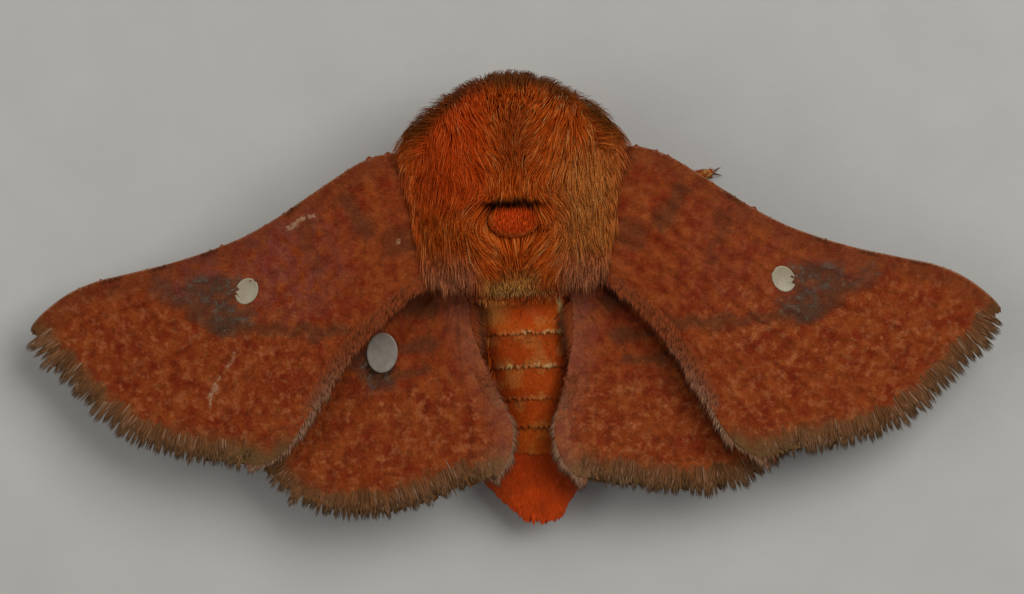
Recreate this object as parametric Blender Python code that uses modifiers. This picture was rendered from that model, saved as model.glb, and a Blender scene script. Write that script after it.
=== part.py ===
"""A window-winged moth at rest with its wings spread, standing on its six feet.

Metres, +Z up, +Y towards the head, +X towards the moth's right. The origin is on the floor,
under the middle of the moth. Sizes are given in millimetres and multiplied by MM.
"""

import math
import random

import bmesh
import bpy
import numpy as np
from mathutils import Matrix, Vector

MM = 0.001

# What neighbouring solids keep between them, and the thickness of the wings
GAP = 0.3 * MM
SHEET = 0.5 * MM

# The thorax without its coat: an ellipsoid with its front end raised
THORAX_CENTRE = Vector((0, 2.85, 3.6)) * MM
THORAX_RADII = Vector((2.2, 2.8, 2.0)) * MM
THORAX_PITCH = math.radians(12)

# The coat's core over it reaches half way to the hair tips. The hair is rooted there.
MANTLE_CENTRE = Vector((0, 3.2, 4.4)) * MM
MANTLE_RADII = Vector((2.75, 2.95, 1.4)) * MM
COAT_DEPTH = 0.62 * MM
COAT_SEED = 7

# Hair locks: how deep the root is sunk, the shape of a section and the number of sections
ROOT_DEPTH = 0.28 * MM
LOCK_THICKNESS = 0.3 * MM
LOCK_WIDTH = 0.74 * MM
LOCK_SECTIONS = 3

# Rows of locks, by the angle from the front end and the reach of a row to each side, in degrees
COAT_ROWS = ((36, 76), (54, 82), (72, 84), (90, 84), (108, 80), (126, 76), (144, 68))
COAT_SPACING = 0.8 * MM
COAT_LENGTH = 1.7 * MM

# The short hair of the collar, which overhangs the head: angles round the front end
COLLAR_ANGLES = tuple(range(-81, 82, 18))
COLLAR_LENGTH = 0.8 * MM

# The bare scale patch in the middle of the back, with a slit in front of it
PATCH_CENTRE = Vector((0, 2.15, 5.45)) * MM
PATCH_RADII = Vector((0.62, 0.48, 0.34)) * MM
PATCH_FRONT = 2.8 * MM
PATCH_BACK = 1.7 * MM
PATCH_HALF_WIDTH = 0.75 * MM

# Long locks of the shoulder pads, from root to tip, on the right: x and y in millimetres
SHOULDER_LOCKS = (((2.1, 4.9), (3.4, 4.1), (3.1, 2.4)), ((2.1, 4.3), (3.5, 2.9), (2.75, 1.25)),
                  ((2.05, 3.6), (3.1, 2.2), (2.45, 0.5)), ((1.85, 3.1), (2.6, 1.6), (1.9, 0.15)),
                  ((1.5, 2.8), (2.0, 1.4), (1.35, 0.3)))
SHOULDER_HEIGHTS = (5.35, 5.25, 4.85)
SHOULDER_SECTIONS = 4

# The head, tucked under the front of the coat, and its compound eyes
HEAD_CENTRE = Vector((0, 5.05, 3.15)) * MM
HEAD_RADII = Vector((1.0, 1.05, 1.1)) * MM
EYE_CENTRE = Vector((1.12, 5.2, 3.15)) * MM
EYE_RADII = Vector((0.6, 0.7, 0.78)) * MM

# The wings lie on one shallow roof: its height at the hinge, and how it falls outwards and backwards
ROOF_HEIGHT = 4.55 * MM
ROOF_HINGE_X = 2.4 * MM
ROOF_HINGE_Y = 3.0 * MM
ROOF_FALL_OUT = 0.115
ROOF_DROOP = 9.0
ROOF_FALL_BACK = 0.09
VEIN_HEIGHT = 0.13 * MM
HINDWING_DROP = SHEET + GAP + VEIN_HEIGHT

# How far each wing is turned about its hinge from the mirrored pose, positive towards the head
FOREWING_HINGE = Vector((2.4, 2.6)) * MM
HINDWING_HINGE = Vector((2.2, 1.0)) * MM
FOREWING_SWEEP = {"left": math.radians(1.0), "right": math.radians(-1.0)}
HINDWING_SWEEP = {"left": math.radians(-4.0), "right": math.radians(4.0)}

# Right wings in plan, in millimetres: leading edge, outer margin with its fringe, trailing edge
FOREWING_COSTA = ((2.2, 4.0), (3.3, 4.2), (4.2, 4.0), (5.0, 3.55), (6.0, 2.9), (7.0, 2.27), (8.0, 1.78),
                  (9.5, 1.28), (11.0, 0.93), (12.0, 0.7), (12.9, 0.3), (13.75, -0.4), (14.0, -0.98))
FOREWING_MARGIN = ((14.0, -0.98), (13.6, -1.65), (12.8, -2.4), (11.9, -3.25), (10.8, -4.05), (9.4, -4.45),
                   (8.2, -4.6))
FOREWING_DORSUM = ((1.75, 0.95), (2.9, 0.2), (3.9, -0.75), (4.8, -2.0), (5.5, -3.2), (6.2, -4.25))
FOREWING_TORNUS = (7.1, -4.8)
DORSUM_OUT = {"left": 0.5, "right": -0.05}
HINDWING_COSTA = ((1.75, 1.3), (4.4, 0.5), (6.4, -0.7), (7.7, -2.3), (8.0, -3.5))
HINDWING_MARGIN = ((8.0, -3.5), (7.7, -4.6), (6.7, -5.5), (5.2, -6.0), (3.8, -5.9), (2.6, -5.55),
                   (1.6, -5.3), (1.1, -5.15))
HINDWING_DORSUM = ((1.5, 0.25), (1.45, -0.9), (1.1, -2.2), (0.62, -3.5), (0.68, -4.4), (1.1, -5.15))

# Main veins: every third line of the wing's grid is raised, and the fringe is cut into teeth
VEIN_EVERY = 3
FRINGE_TOOTH = 0.1 * MM
EDGE_SHARE = 0.4

# The scaleless windows, on the right: centre in plan and half-sizes in millimetres
FOREWING_WINDOW = (7.62, 0.37, 0.31, 0.34)
HINDWING_WINDOW = {"left": (4.05, -1.3, 0.43, 0.55), "right": (4.45, -1.45, 0.43, 0.55)}
WINDOW_DEPTH = 0.15 * MM
SLIVER = 0.025 * MM

# The abdomen: distance behind the origin, half-width, half-height, height of its middle, in millimetres
ABDOMEN_STATIONS = ((1.0, 1.25, 1.15, 2.85), (0.1, 1.45, 1.25, 2.5), (-1.2, 1.42, 1.15, 2.1),
                    (-2.4, 1.28, 1.05, 1.8), (-3.6, 1.08, 0.9, 1.55), (-4.35, 0.85, 0.72, 1.42))
ABDOMEN_EDGES = (1.0, 0.1, -0.95, -1.9, -2.8, -3.6, -4.35)
RING_STEP = 0.07 * MM
ABDOMEN_BEND = 0.05
ABDOMEN_BEND_FROM = 0.1 * MM
ABDOMEN_START_X = 0.2 * MM

# The scale tuft on the abdomen's end: a core, and flat locks that fan out from it
TAIL_CORE = ((-4.65, 0.72, 0.55, 1.42), (-5.0, 0.85, 0.52, 1.3), (-5.45, 0.62, 0.38, 1.15), (-5.8, 0.35, 0.2, 1.05))
TAIL_LOCKS = ((-1.2, 5.15), (-0.98, 5.6), (-0.65, 6.1), (-0.28, 6.42), (0.16, 6.46), (0.58, 6.4), (0.88, 5.9),
              (1.12, 5.45), (1.22, 5.08))
TAIL_X = 0.36 * MM
TAIL_LAYERS = ((1.6, 0.0), (1.05, 0.15))
TAIL_LOCK_WIDTH = 0.66 * MM
TAIL_TIP_HEIGHT = 1.08

# Legs on the right, from the thorax to the tip of the foot: x, y, z and radius in millimetres
LEG_PATHS = {
    "front": ((0.75, 3.6, 2.4, 0.42), (0.95, 3.95, 1.4, 0.42), (1.3, 4.4, 1.25, 0.3), (2.0, 4.7, 1.75, 0.34),
              (2.05, 4.8, 1.4, 0.28), (1.85, 4.95, 0.55, 0.32), (1.8, 5.1, 0.25, 0.26), (1.8, 5.7, 0.2, 0.25)),
    "middle": ((0.7, 2.3, 2.4, 0.45), (1.0, 2.4, 1.3, 0.42), (1.5, 2.7, 1.45, 0.3), (2.7, 3.0, 2.35, 0.34),
               (3.1, 3.05, 1.95, 0.27), (4.0, 3.15, 0.6, 0.3), (4.3, 3.2, 0.28, 0.26), (5.45, 3.25, 0.2, 0.25)),
    "hind": ((0.7, 1.5, 2.6, 0.42), (1.1, 1.25, 1.35, 0.4), (1.6, 1.0, 1.4, 0.3), (2.2, 0.5, 2.05, 0.34),
             (2.5, 0.1, 1.75, 0.27), (3.0, -1.1, 0.6, 0.3), (3.1, -1.35, 0.28, 0.26), (3.4, -2.6, 0.2, 0.25)),
}
FOOT_SHIFT = {"middle_right": Vector((0.3, 0.15, 0)) * MM, "middle_left": Vector((-0.2, -0.3, 0)) * MM}
TUBE_SIDES = 8

# Feelers and palps on the right: x, y, z and radius in millimetres
ANTENNA_PATH = ((0.45, 5.35, 4.1, 0.27), (0.75, 5.45, 4.48, 0.26), (1.6, 5.2, 4.4, 0.25), (2.5, 4.4, 3.65, 0.25),
                (3.4, 3.5, 3.2, 0.25), (4.4, 2.75, 2.95, 0.25), (5.2, 2.0, 2.75, 0.2), (5.7, 1.3, 2.6, 0.12))
PALP_PATH = ((0.42, 5.4, 1.8, 0.25), (0.44, 5.8, 1.75, 0.3), (0.46, 6.12, 2.2, 0.28), (0.46, 6.2, 2.9, 0.25),
             (0.44, 6.12, 3.4, 0.14))

SIDES = {"right": 1, "left": -1}


def clear_scene():
    for obj in list(bpy.data.objects):
        bpy.data.objects.remove(obj)


def collection(name):
    made = bpy.data.collections.new(name)
    bpy.context.scene.collection.children.link(made)
    return made


def material(name, colour, roughness):
    made = bpy.data.materials.new(name)
    made.use_nodes = True
    shader = made.node_tree.nodes["Principled BSDF"]
    shader.inputs["Base Color"].default_value = (*colour, 1)
    shader.inputs["Roughness"].default_value = roughness
    shader.inputs["Metallic"].default_value = 0.0
    return made


def add_object(name, bm, finish, group):
    """The bmesh as a new smooth-shaded object in that collection, with its faces pointing out."""
    bmesh.ops.recalc_face_normals(bm, faces=bm.faces)
    mesh = bpy.data.meshes.new(name)
    bm.to_mesh(mesh)
    bm.free()
    mesh.materials.append(finish)
    mesh.shade_smooth()
    obj = bpy.data.objects.new(name, mesh)
    group.objects.link(obj)
    return obj


def evaluated_mesh(obj):
    graph = bpy.context.evaluated_depsgraph_get()
    return bpy.data.meshes.new_from_object(obj.evaluated_get(graph))


def shell_volume(shell):
    """The volume inside one closed surface, summed over its faces' fans of triangles."""
    volume = 0
    for face in {face for vert in shell for face in vert.link_faces}:
        corners = [vert.co for vert in face.verts]
        for a, b in zip(corners[1:], corners[2:]):
            volume += corners[0].dot(a.cross(b)) / 6
    return volume


def keep_largest(obj):
    """Drops every closed surface but the one of greatest volume."""
    bm = bmesh.new()
    bm.from_mesh(obj.data)
    left = set(bm.verts)
    shells = []
    while left:
        shell = set()
        front = [left.pop()]
        while front:
            vert = front.pop()
            shell.add(vert)
            near = {edge.other_vert(vert) for edge in vert.link_edges} & left
            left -= near
            front += near
        shells.append(shell)
    shells.sort(key=shell_volume)
    for shell in shells[:-1]:
        bmesh.ops.delete(bm, geom=list(shell), context="VERTS")
    bm.to_mesh(obj.data)
    bm.free()


def drop_slivers(obj):
    """Removes edges and faces narrower than the smallest that can be made, which cuts leave behind."""
    bm = bmesh.new()
    bm.from_mesh(obj.data)
    bmesh.ops.dissolve_degenerate(bm, dist=SLIVER, edges=bm.edges)
    bmesh.ops.triangulate(bm, faces=bm.faces)
    bm.to_mesh(obj.data)
    bm.free()


def boolean(obj, others, operation, solver="EXACT"):
    """Joins or cuts obj with closed mesh objects, applies it, and removes them."""
    tools = collection(obj.name + "_tools")
    for other in others:
        for group in other.users_collection:
            group.objects.unlink(other)
        tools.objects.link(other)
    modifier = obj.modifiers.new(operation.lower(), "BOOLEAN")
    modifier.operation = operation
    modifier.operand_type = "COLLECTION"
    modifier.collection = tools
    modifier.solver = solver
    mesh = evaluated_mesh(obj)
    obj.modifiers.clear()
    obj.data = mesh
    for other in others:
        bpy.data.objects.remove(other)
    bpy.data.collections.remove(tools)
    keep_largest(obj)


def swollen(obj, group):
    """A copy of the piece with every face moved out by the gap, to cut its neighbours clear of it."""
    bm = bmesh.new()
    bm.from_mesh(evaluated_mesh(obj))
    bm.normal_update()
    moved = [vert.co + vert.normal * GAP * min(vert.calc_shell_factor(), 2.5) for vert in bm.verts]
    for vert, place in zip(bm.verts, moved):
        vert.co = place
    mesh = bpy.data.meshes.new(obj.name + "_clear")
    bm.to_mesh(mesh)
    bm.free()
    copy = bpy.data.objects.new(obj.name + "_clear", mesh)
    group.objects.link(copy)
    return copy


def cut_clear(obj, neighbours, group):
    """Cuts obj back from each neighbour by the gap."""
    for piece in neighbours:
        boolean(obj, [swollen(piece, group)], "DIFFERENCE")


def cut_level(obj, height):
    """Cuts away what lies below that height and closes the cut."""
    bm = bmesh.new()
    bm.from_mesh(obj.data)
    cut = bmesh.ops.bisect_plane(bm, geom=[*bm.verts, *bm.edges, *bm.faces], plane_co=(0, 0, height),
                                 plane_no=(0, 0, 1), clear_inner=True)
    bmesh.ops.holes_fill(bm, edges=[e for e in cut["geom_cut"] if isinstance(e, bmesh.types.BMEdge)])
    bmesh.ops.recalc_face_normals(bm, faces=bm.faces)
    bm.to_mesh(obj.data)
    bm.free()


def ellipsoid(name, centre, radii, pitch, segments, rings, finish, group):
    """A sphere stretched to three radii, turned about X by pitch, with its poles front and back."""
    bm = bmesh.new()
    bmesh.ops.create_uvsphere(bm, u_segments=segments, v_segments=rings, radius=1)
    bmesh.ops.rotate(bm, verts=bm.verts, matrix=Matrix.Rotation(math.radians(90), 3, "X"))
    bmesh.ops.scale(bm, verts=bm.verts, vec=radii)
    bmesh.ops.rotate(bm, verts=bm.verts, matrix=Matrix.Rotation(pitch, 3, "X"))
    bmesh.ops.translate(bm, verts=bm.verts, vec=centre)
    return add_object(name, bm, finish, group)


def clear_ellipsoid(centre, radii, finish, group):
    """A coarse form round an ellipsoid, larger by the gap at the middles of its facets too."""
    larger = radii * 1.05 + Vector((GAP, GAP, GAP))
    return ellipsoid("clear", centre, larger, 0, 12, 8, finish, group)


def loft(name, rings, finish, group):
    """Closed body through rings of equally many points, each end capped, or pointed if it is one point."""
    bm = bmesh.new()
    rows = [[bm.verts.new(point) for point in ring] for ring in rings]
    for row, following in zip(rows, rows[1:]):
        for i in range(len(row)):
            j = (i + 1) % len(row)
            if len(following) == 1:
                bm.faces.new((row[i], row[j], following[0]))
            else:
                bm.faces.new((row[i], row[j], following[j], following[i]))
    bm.faces.new(rows[0])
    if len(rows[-1]) > 2:
        bm.faces.new(rows[-1])
    return add_object(name, bm, finish, group)


def lock(points, normals, width, finish, group):
    """A flat tapered lock of hair along a path: four-sided sections that widen, then run to a point."""
    rings = []
    count = len(points) - 1
    for k, (point, normal) in enumerate(zip(points[:-1], normals)):
        along = (points[k + 1] - points[max(k - 1, 0)]).normalized()
        across = along.cross(normal).normalized()
        up = across.cross(along)
        swell = 0.72 + 0.28 * math.sin(math.pi * (k + 0.6) / count)
        half = across * width / 2 * swell
        rise = up * LOCK_THICKNESS / 2 * (1 - 0.45 * k / count)
        rings.append((point - half, point + rise, point + half, point - rise))
    rings.append((points[-1],))
    return loft("lock", rings, finish, group)


def tube(name, path, side, finish, group, shift=None):
    """A tapering tube as a bevelled curve, made a mesh. path holds x, y, z and radius in millimetres."""
    curve = bpy.data.curves.new(name, "CURVE")
    curve.dimensions = "3D"
    curve.bevel_depth = MM
    curve.bevel_resolution = (TUBE_SIDES - 4) // 2
    curve.use_fill_caps = True
    spline = curve.splines.new("POLY")
    spline.points.add(len(path) - 1)
    for point, (x, y, z, radius) in zip(spline.points, path):
        point.co = (side * x * MM, y * MM, z * MM, 1)
        point.radius = radius
    if shift:
        spline.points[-1].co += shift.to_4d() - Vector((0, 0, 0, 1))
    guide = bpy.data.objects.new(name + "_guide", curve)
    group.objects.link(guide)
    mesh = evaluated_mesh(guide)
    bm = bmesh.new()
    bm.from_mesh(mesh)
    bmesh.ops.remove_doubles(bm, verts=bm.verts, dist=0.001 * MM)
    bpy.data.objects.remove(guide)
    bpy.data.meshes.remove(mesh)
    return add_object(name, bm, finish, group)


def smooth_path(points, count):
    """count points evenly spaced along a Catmull-Rom curve through the given ones."""
    points = np.array(points, float)
    ends = np.vstack([2 * points[0] - points[1], points, 2 * points[-1] - points[-2]])
    dense = []
    for a, b, c, d in zip(ends, ends[1:], ends[2:], ends[3:]):
        for t in np.linspace(0, 1, 12, endpoint=False):
            dense.append(0.5 * (2 * b + (c - a) * t + (2 * a - 5 * b + 4 * c - d) * t**2
                                + (3 * b - a - 3 * c + d) * t**3))
    dense = np.array(dense + [points[-1]])
    along = np.concatenate([[0], np.cumsum(np.linalg.norm(np.diff(dense, axis=0), axis=1))])
    wanted = np.linspace(0, along[-1], count)
    return np.stack([np.interp(wanted, along, dense[:, k]) for k in range(dense.shape[1])], axis=1)


def roof_height(x, y):
    """The forewings' upper surface: it falls outwards with a droop, and backwards."""
    out = abs(x) - ROOF_HINGE_X
    return ROOF_HEIGHT - ROOF_FALL_OUT * out - ROOF_DROOP * out * abs(out) - ROOF_FALL_BACK * (ROOF_HINGE_Y - y)


def coons_patch(costa, margin, dorsum, base, u, v):
    """A point of the sheet spanned by four edge curves, given as arrays over u or v."""
    i, j = round(u * (len(costa) - 1)), round(v * (len(margin) - 1))
    ruled = (1 - v) * costa[i] + v * dorsum[i] + (1 - u) * base[j] + u * margin[j]
    corners = ((1 - u) * ((1 - v) * base[0] + v * base[-1])
               + u * ((1 - v) * margin[0] + v * margin[-1]))
    return ruled - corners


def turned(x, y, side, hinge, sweep):
    """A plan point of the right wing brought to its side and turned about the hinge."""
    reach = Vector((side * (x - hinge.x), y - hinge.y))
    plan = Matrix.Rotation(sweep * side, 2) @ reach
    return plan.x + side * hinge.x, plan.y + hinge.y


def wing_edges(edges, steps_u, steps_v):
    """The leading edge, margin, trailing edge and base, each as evenly spaced points."""
    costa, margin, dorsum = (smooth_path(np.array(edge) * MM, n)
                             for edge, n in zip(edges, (steps_u + 1, steps_v + 1, steps_u + 1)))
    return costa, margin, dorsum, np.linspace(costa[0], dorsum[0], steps_v + 1)


def wing_slot(edges, hinge, sweep, drop, side, finish, group, steps=8):
    """A plain copy of a wing that is larger by the gap on every side, to cut its neighbours clear of it."""
    outline = wing_edges(edges, steps, steps)
    bm = bmesh.new()
    bmesh.ops.create_grid(bm, x_segments=steps, y_segments=steps, size=0.5)
    for vert in bm.verts:
        u, v = vert.co.x + 0.5, vert.co.y + 0.5
        place = coons_patch(*outline, u, v)
        for low, high, inner in ((u, 1 - u, (abs(u - 1 / steps), v)), (v, 1 - v, (u, abs(v - 1 / steps)))):
            if min(low, high) < 0.5 / steps:
                off = place - coons_patch(*outline, *inner)
                place = place + off / np.linalg.norm(off) * GAP
        x, y = turned(*place, side, hinge, sweep)
        vert.co = (x, y, roof_height(x, y) - drop + VEIN_HEIGHT + GAP)
    bmesh.ops.triangulate(bm, faces=bm.faces)
    obj = add_object("slot", bm, finish, group)
    if obj.data.polygons[0].normal.z < 0:
        obj.data.flip_normals()
    thicken = obj.modifiers.new("thickness", "SOLIDIFY")
    thicken.thickness = VEIN_HEIGHT + SHEET + 2 * GAP
    thicken.offset = -1
    obj.data = evaluated_mesh(obj)
    obj.modifiers.clear()
    return obj


def wing(name, edges, hinge, sweep, drop, side, finish, group, steps_u, steps_v):
    """A wing: a grid laid on the roof between its four edges, with raised veins, over the same grid lower down.

    Its margin is cut into teeth, and it is thinner round the edge than inside.
    """
    outline = wing_edges(edges, steps_u, steps_v)
    bm = bmesh.new()
    bmesh.ops.create_grid(bm, x_segments=steps_u, y_segments=steps_v, size=0.5)
    under = []
    for vert in bm.verts:
        u, v = vert.co.x + 0.5, vert.co.y + 0.5
        column, row = round(u * steps_u), round(v * steps_v)
        place = coons_patch(*outline, u, v)
        if column == steps_u and 0 < row < steps_v:
            inner = coons_patch(*outline, 1 - 1 / steps_u, v)
            place = place + (place - inner) / np.linalg.norm(place - inner) * FRINGE_TOOTH * (-1)**row
        vein = VEIN_HEIGHT if row % VEIN_EVERY == 0 and 0 < row < steps_v and 0 < column < steps_u else 0
        x, y = turned(*place, side, hinge, sweep)
        vert.co = (x, y, roof_height(x, y) - drop + vein)
        inside = column < steps_u and 0 < row < steps_v
        under.append((vert, roof_height(x, y) - drop - SHEET * (1 if inside else EDGE_SHARE)))
    bmesh.ops.extrude_face_region(bm, geom=bm.faces[:], use_keep_orig=True)
    for vert, height in under:
        vert.co.z = height
    bmesh.ops.recalc_face_normals(bm, faces=bm.faces)
    bmesh.ops.triangulate(bm, faces=bm.faces)
    return add_object(name, bm, finish, group)


def cut_window(obj, window, hinge, sweep, drop, side, finish, group):
    """Sinks the scaleless oval window into the wing's upper side."""
    x, y, half_x, half_y = (value * MM for value in window)
    x, y = turned(x, y, side, hinge, sweep)
    bm = bmesh.new()
    bmesh.ops.create_cone(bm, cap_ends=True, segments=14, radius1=1, radius2=1, depth=1)
    bmesh.ops.scale(bm, verts=bm.verts, vec=(half_x, half_y, MM))
    slope_x = (roof_height(x + half_x, y) - roof_height(x - half_x, y)) / (2 * half_x)
    for vert in bm.verts:
        vert.co.z += slope_x * vert.co.x + ROOF_FALL_BACK * vert.co.y
    floor = roof_height(x, y) - drop - WINDOW_DEPTH
    bmesh.ops.translate(bm, verts=bm.verts, vec=(x, y, floor + MM / 2))
    boolean(obj, [add_object("window", bm, finish, group)], "DIFFERENCE")
    drop_slivers(obj)


def forewing_edges(word):
    """The right forewing's three edges, its trailing edge and corner moved out on the left one."""
    out = DORSUM_OUT[word]
    first, *rest = FOREWING_DORSUM
    corner = (FOREWING_TORNUS[0] + out, FOREWING_TORNUS[1] + 0.3 * out)
    dorsum = (first, *((x + out * k / len(rest), y) for k, (x, y) in enumerate(rest, start=1)), corner)
    return FOREWING_COSTA, (*FOREWING_MARGIN, corner), dorsum


def forewing_pose(word, side):
    return forewing_edges(word), FOREWING_HINGE, FOREWING_SWEEP[word], 0, side


def hindwing_pose(word, side):
    edges = (HINDWING_COSTA, HINDWING_MARGIN, HINDWING_DORSUM)
    return edges, HINDWING_HINGE, HINDWING_SWEEP[word], HINDWING_DROP, side


def build_wings(finish, group):
    for word, side in SIDES.items():
        pose = forewing_pose(word, side)
        fore = wing("forewing_" + word, *pose, finish, group, 10, 24)
        cut_window(fore, FOREWING_WINDOW, *pose[1:], finish, group)
        pose = hindwing_pose(word, side)
        hind = wing("hindwing_" + word, *pose, finish, group, 8, 21)
        cut_window(hind, HINDWING_WINDOW[word], *pose[1:], finish, group)


def body_ring(x, y, half_width, half_height, z, sides):
    """An ellipse across the body at distance y."""
    turns = [2 * math.pi * k / sides for k in range(sides)]
    return [(x + half_width * math.cos(t), y, z + half_height * math.sin(t)) for t in turns]


def abdomen_middle(y):
    """The abdomen bends a little to the moth's right towards its end."""
    return ABDOMEN_START_X + ABDOMEN_BEND * max(0.0, ABDOMEN_BEND_FROM - y)


def build_abdomen(finish, group):
    """Six rings, each widening to its rear edge, which stands over the next."""
    stations = np.array(ABDOMEN_STATIONS) * MM
    edges = np.array(ABDOMEN_EDGES) * MM
    rings = []
    for front, back in zip(edges, edges[1:]):
        for y, step in ((front, 0.0), (front + 0.8 * (back - front), RING_STEP), (back, 0.6 * RING_STEP)):
            half_width, half_height, z = (np.interp(-y, -stations[:, 0], stations[:, k]) for k in (1, 2, 3))
            y -= 0.12 * (front - back) if step == 0.0 else 0.0
            rings.append(body_ring(abdomen_middle(y), y, half_width + step, half_height + step, z, 16))
    abdomen = loft("abdomen", rings, finish, group)
    radii = THORAX_RADII + Vector((GAP, GAP, GAP))
    clear = ellipsoid("thorax_clear", THORAX_CENTRE, radii, THORAX_PITCH, 24, 14, finish, group)
    boolean(abdomen, [clear], "DIFFERENCE")
    for word, side in SIDES.items():
        boolean(abdomen, [wing_slot(*hindwing_pose(word, side), finish, group)], "DIFFERENCE")
    return abdomen


def abdomen_clear(finish, group):
    """A plain form round the abdomen, larger by the gap."""
    rings = []
    for y, half_width, half_height, z in ABDOMEN_STATIONS:
        y = y * MM + (GAP if y == ABDOMEN_STATIONS[0][0] else -GAP if y == ABDOMEN_STATIONS[-1][0] else 0)
        grow = RING_STEP + GAP
        rings.append(body_ring(abdomen_middle(y), y, half_width * MM + grow, half_height * MM + grow, z * MM, 14))
    return loft("abdomen_clear", rings, finish, group)


def build_tail(finish, group):
    """A tuft of long scales: layers of flat locks that fan out backwards from a short core."""
    core = [body_ring(TAIL_X, y * MM, w * MM, h * MM, z * MM, 12) for y, w, h, z in TAIL_CORE]
    tail = loft("tail_tuft", core, finish, group)
    start_y = TAIL_CORE[0][0] - 0.05
    shares = (0, 0.35, 0.7, 1)
    locks = []
    for height, inset in TAIL_LAYERS:
        for reach_x, reach_y in TAIL_LOCKS:
            points = []
            for share in shares:
                x = reach_x * (0.45 + 0.55 * share + 0.18 * math.sin(math.pi * share))
                y = start_y + (inset - reach_y - start_y) * share
                z = height + (TAIL_TIP_HEIGHT - height) * share
                points.append(Vector((TAIL_X + x * MM, y * MM, z * MM)))
            locks.append(lock(points, [Vector((0, 0, 1))] * len(shares), TAIL_LOCK_WIDTH, finish, group))
    boolean(tail, locks, "UNION", "MANIFOLD")
    boolean(tail, [abdomen_clear(finish, group)], "DIFFERENCE", "MANIFOLD")


def mantle_point(direction, lift):
    """The point over the coat's core in that direction, lifted off it, with the surface normal."""
    normal = Vector([d / r for d, r in zip(direction, MANTLE_RADII)]).normalized()
    place = MANTLE_CENTRE + Vector([d * r for d, r in zip(direction, MANTLE_RADII)])
    return place + normal * lift, normal


def combed_lock(direction, flow, length, width, depth, finish, group):
    """A lock rooted in the coat's core that follows the flow over it and rises to the coat's depth."""
    points, normals = [], []
    step = length / LOCK_SECTIONS
    for k in range(LOCK_SECTIONS + 1):
        share = k / LOCK_SECTIONS
        lift = -ROOT_DEPTH + (ROOT_DEPTH + depth) * math.sin(math.pi / 2 * min(1.0, 1.15 * share))
        point, normal = mantle_point(direction, lift)
        points.append(point)
        normals.append(normal)
        tangent = (flow - flow.dot(direction) * direction).normalized()
        radius = Vector([t * r for t, r in zip(tangent, MANTLE_RADII)]).length
        direction = (direction + tangent * step / radius).normalized()
    return lock(points, normals, width, finish, group)


def back_hair(draw, finish, group):
    """Rows of locks from the collar to the rear end, combed back and in towards the middle line."""
    locks = []
    for row, (polar, reach) in enumerate(COAT_ROWS):
        polar, reach = math.radians(polar), math.radians(reach)
        arc = 2 * reach * MANTLE_RADII.x * math.sin(polar)
        count = max(3, round(arc / COAT_SPACING))
        for k in range(count):
            turn = reach * (2 * (k + 0.5) / count - 1) + draw.uniform(-0.05, 0.05) + 0.04 * (-1)**row
            ahead = polar + draw.uniform(-0.06, 0.06)
            direction = Vector((math.sin(turn) * math.sin(ahead), math.cos(ahead), math.cos(turn) * math.sin(ahead)))
            root, _ = mantle_point(direction, 0)
            near = abs(root.x) < PATCH_HALF_WIDTH
            if near and PATCH_BACK < root.y < PATCH_FRONT:
                continue
            length = COAT_LENGTH * draw.uniform(0.85, 1.15)
            if near and root.y > PATCH_FRONT:
                length = min(length, root.y - PATCH_FRONT)
            if length < 0.35 * COAT_LENGTH:
                continue
            flow = Vector((-0.3 * direction.x, -1, -0.15)) + Vector((draw.uniform(-0.12, 0.12), 0, 0))
            width = LOCK_WIDTH * draw.uniform(0.85, 1.15)
            locks.append(combed_lock(direction, flow, length, width, COAT_DEPTH, finish, group))
    return locks


def collar_hair(draw, finish, group):
    """Short locks round the front end, which overhang the head."""
    locks = []
    for angle in COLLAR_ANGLES:
        turn = math.radians(angle)
        direction = Vector((0.62 * math.sin(turn), 0.78, 0.62 * math.cos(turn))).normalized()
        flow = Vector((direction.x, 1.0, direction.z * 0.35))
        length = COLLAR_LENGTH * draw.uniform(0.9, 1.1)
        locks.append(combed_lock(direction, flow, length, LOCK_WIDTH, 0.7 * COAT_DEPTH, finish, group))
    return locks


def shoulder_hair(finish, group):
    """Long locks that sweep from each shoulder back over the wing's base."""
    locks = []
    for side in SIDES.values():
        for plan in SHOULDER_LOCKS:
            knots = [Vector((side * x, y, z)) * MM for (x, y), z in zip(plan, SHOULDER_HEIGHTS)]
            knots[0].z -= 2 * ROOT_DEPTH
            points = []
            for k in range(SHOULDER_SECTIONS + 1):
                t = k / SHOULDER_SECTIONS
                points.append((1 - t)**2 * knots[0] + 2 * t * (1 - t) * knots[1] + t**2 * knots[2])
            up = Vector((0.25 * side, 0, 1)).normalized()
            locks.append(lock(points, [up] * len(points), 1.1 * LOCK_WIDTH, finish, group))
    return locks


def thorax_clearances(feelers, finish, group):
    """What is cut from the thorax: forms round the head, eyes, feelers, abdomen and wings."""
    cutters = [clear_ellipsoid(HEAD_CENTRE, HEAD_RADII, finish, group), abdomen_clear(finish, group)]
    for word, side in SIDES.items():
        centre = Vector((side * EYE_CENTRE.x, EYE_CENTRE.y, EYE_CENTRE.z))
        cutters.append(clear_ellipsoid(centre, EYE_RADII, finish, group))
        cutters.append(wing_slot(*forewing_pose(word, side), finish, group))
        cutters.append(wing_slot(*hindwing_pose(word, side), finish, group))
    return cutters + [swollen(feeler, group) for feeler in feelers]


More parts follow.
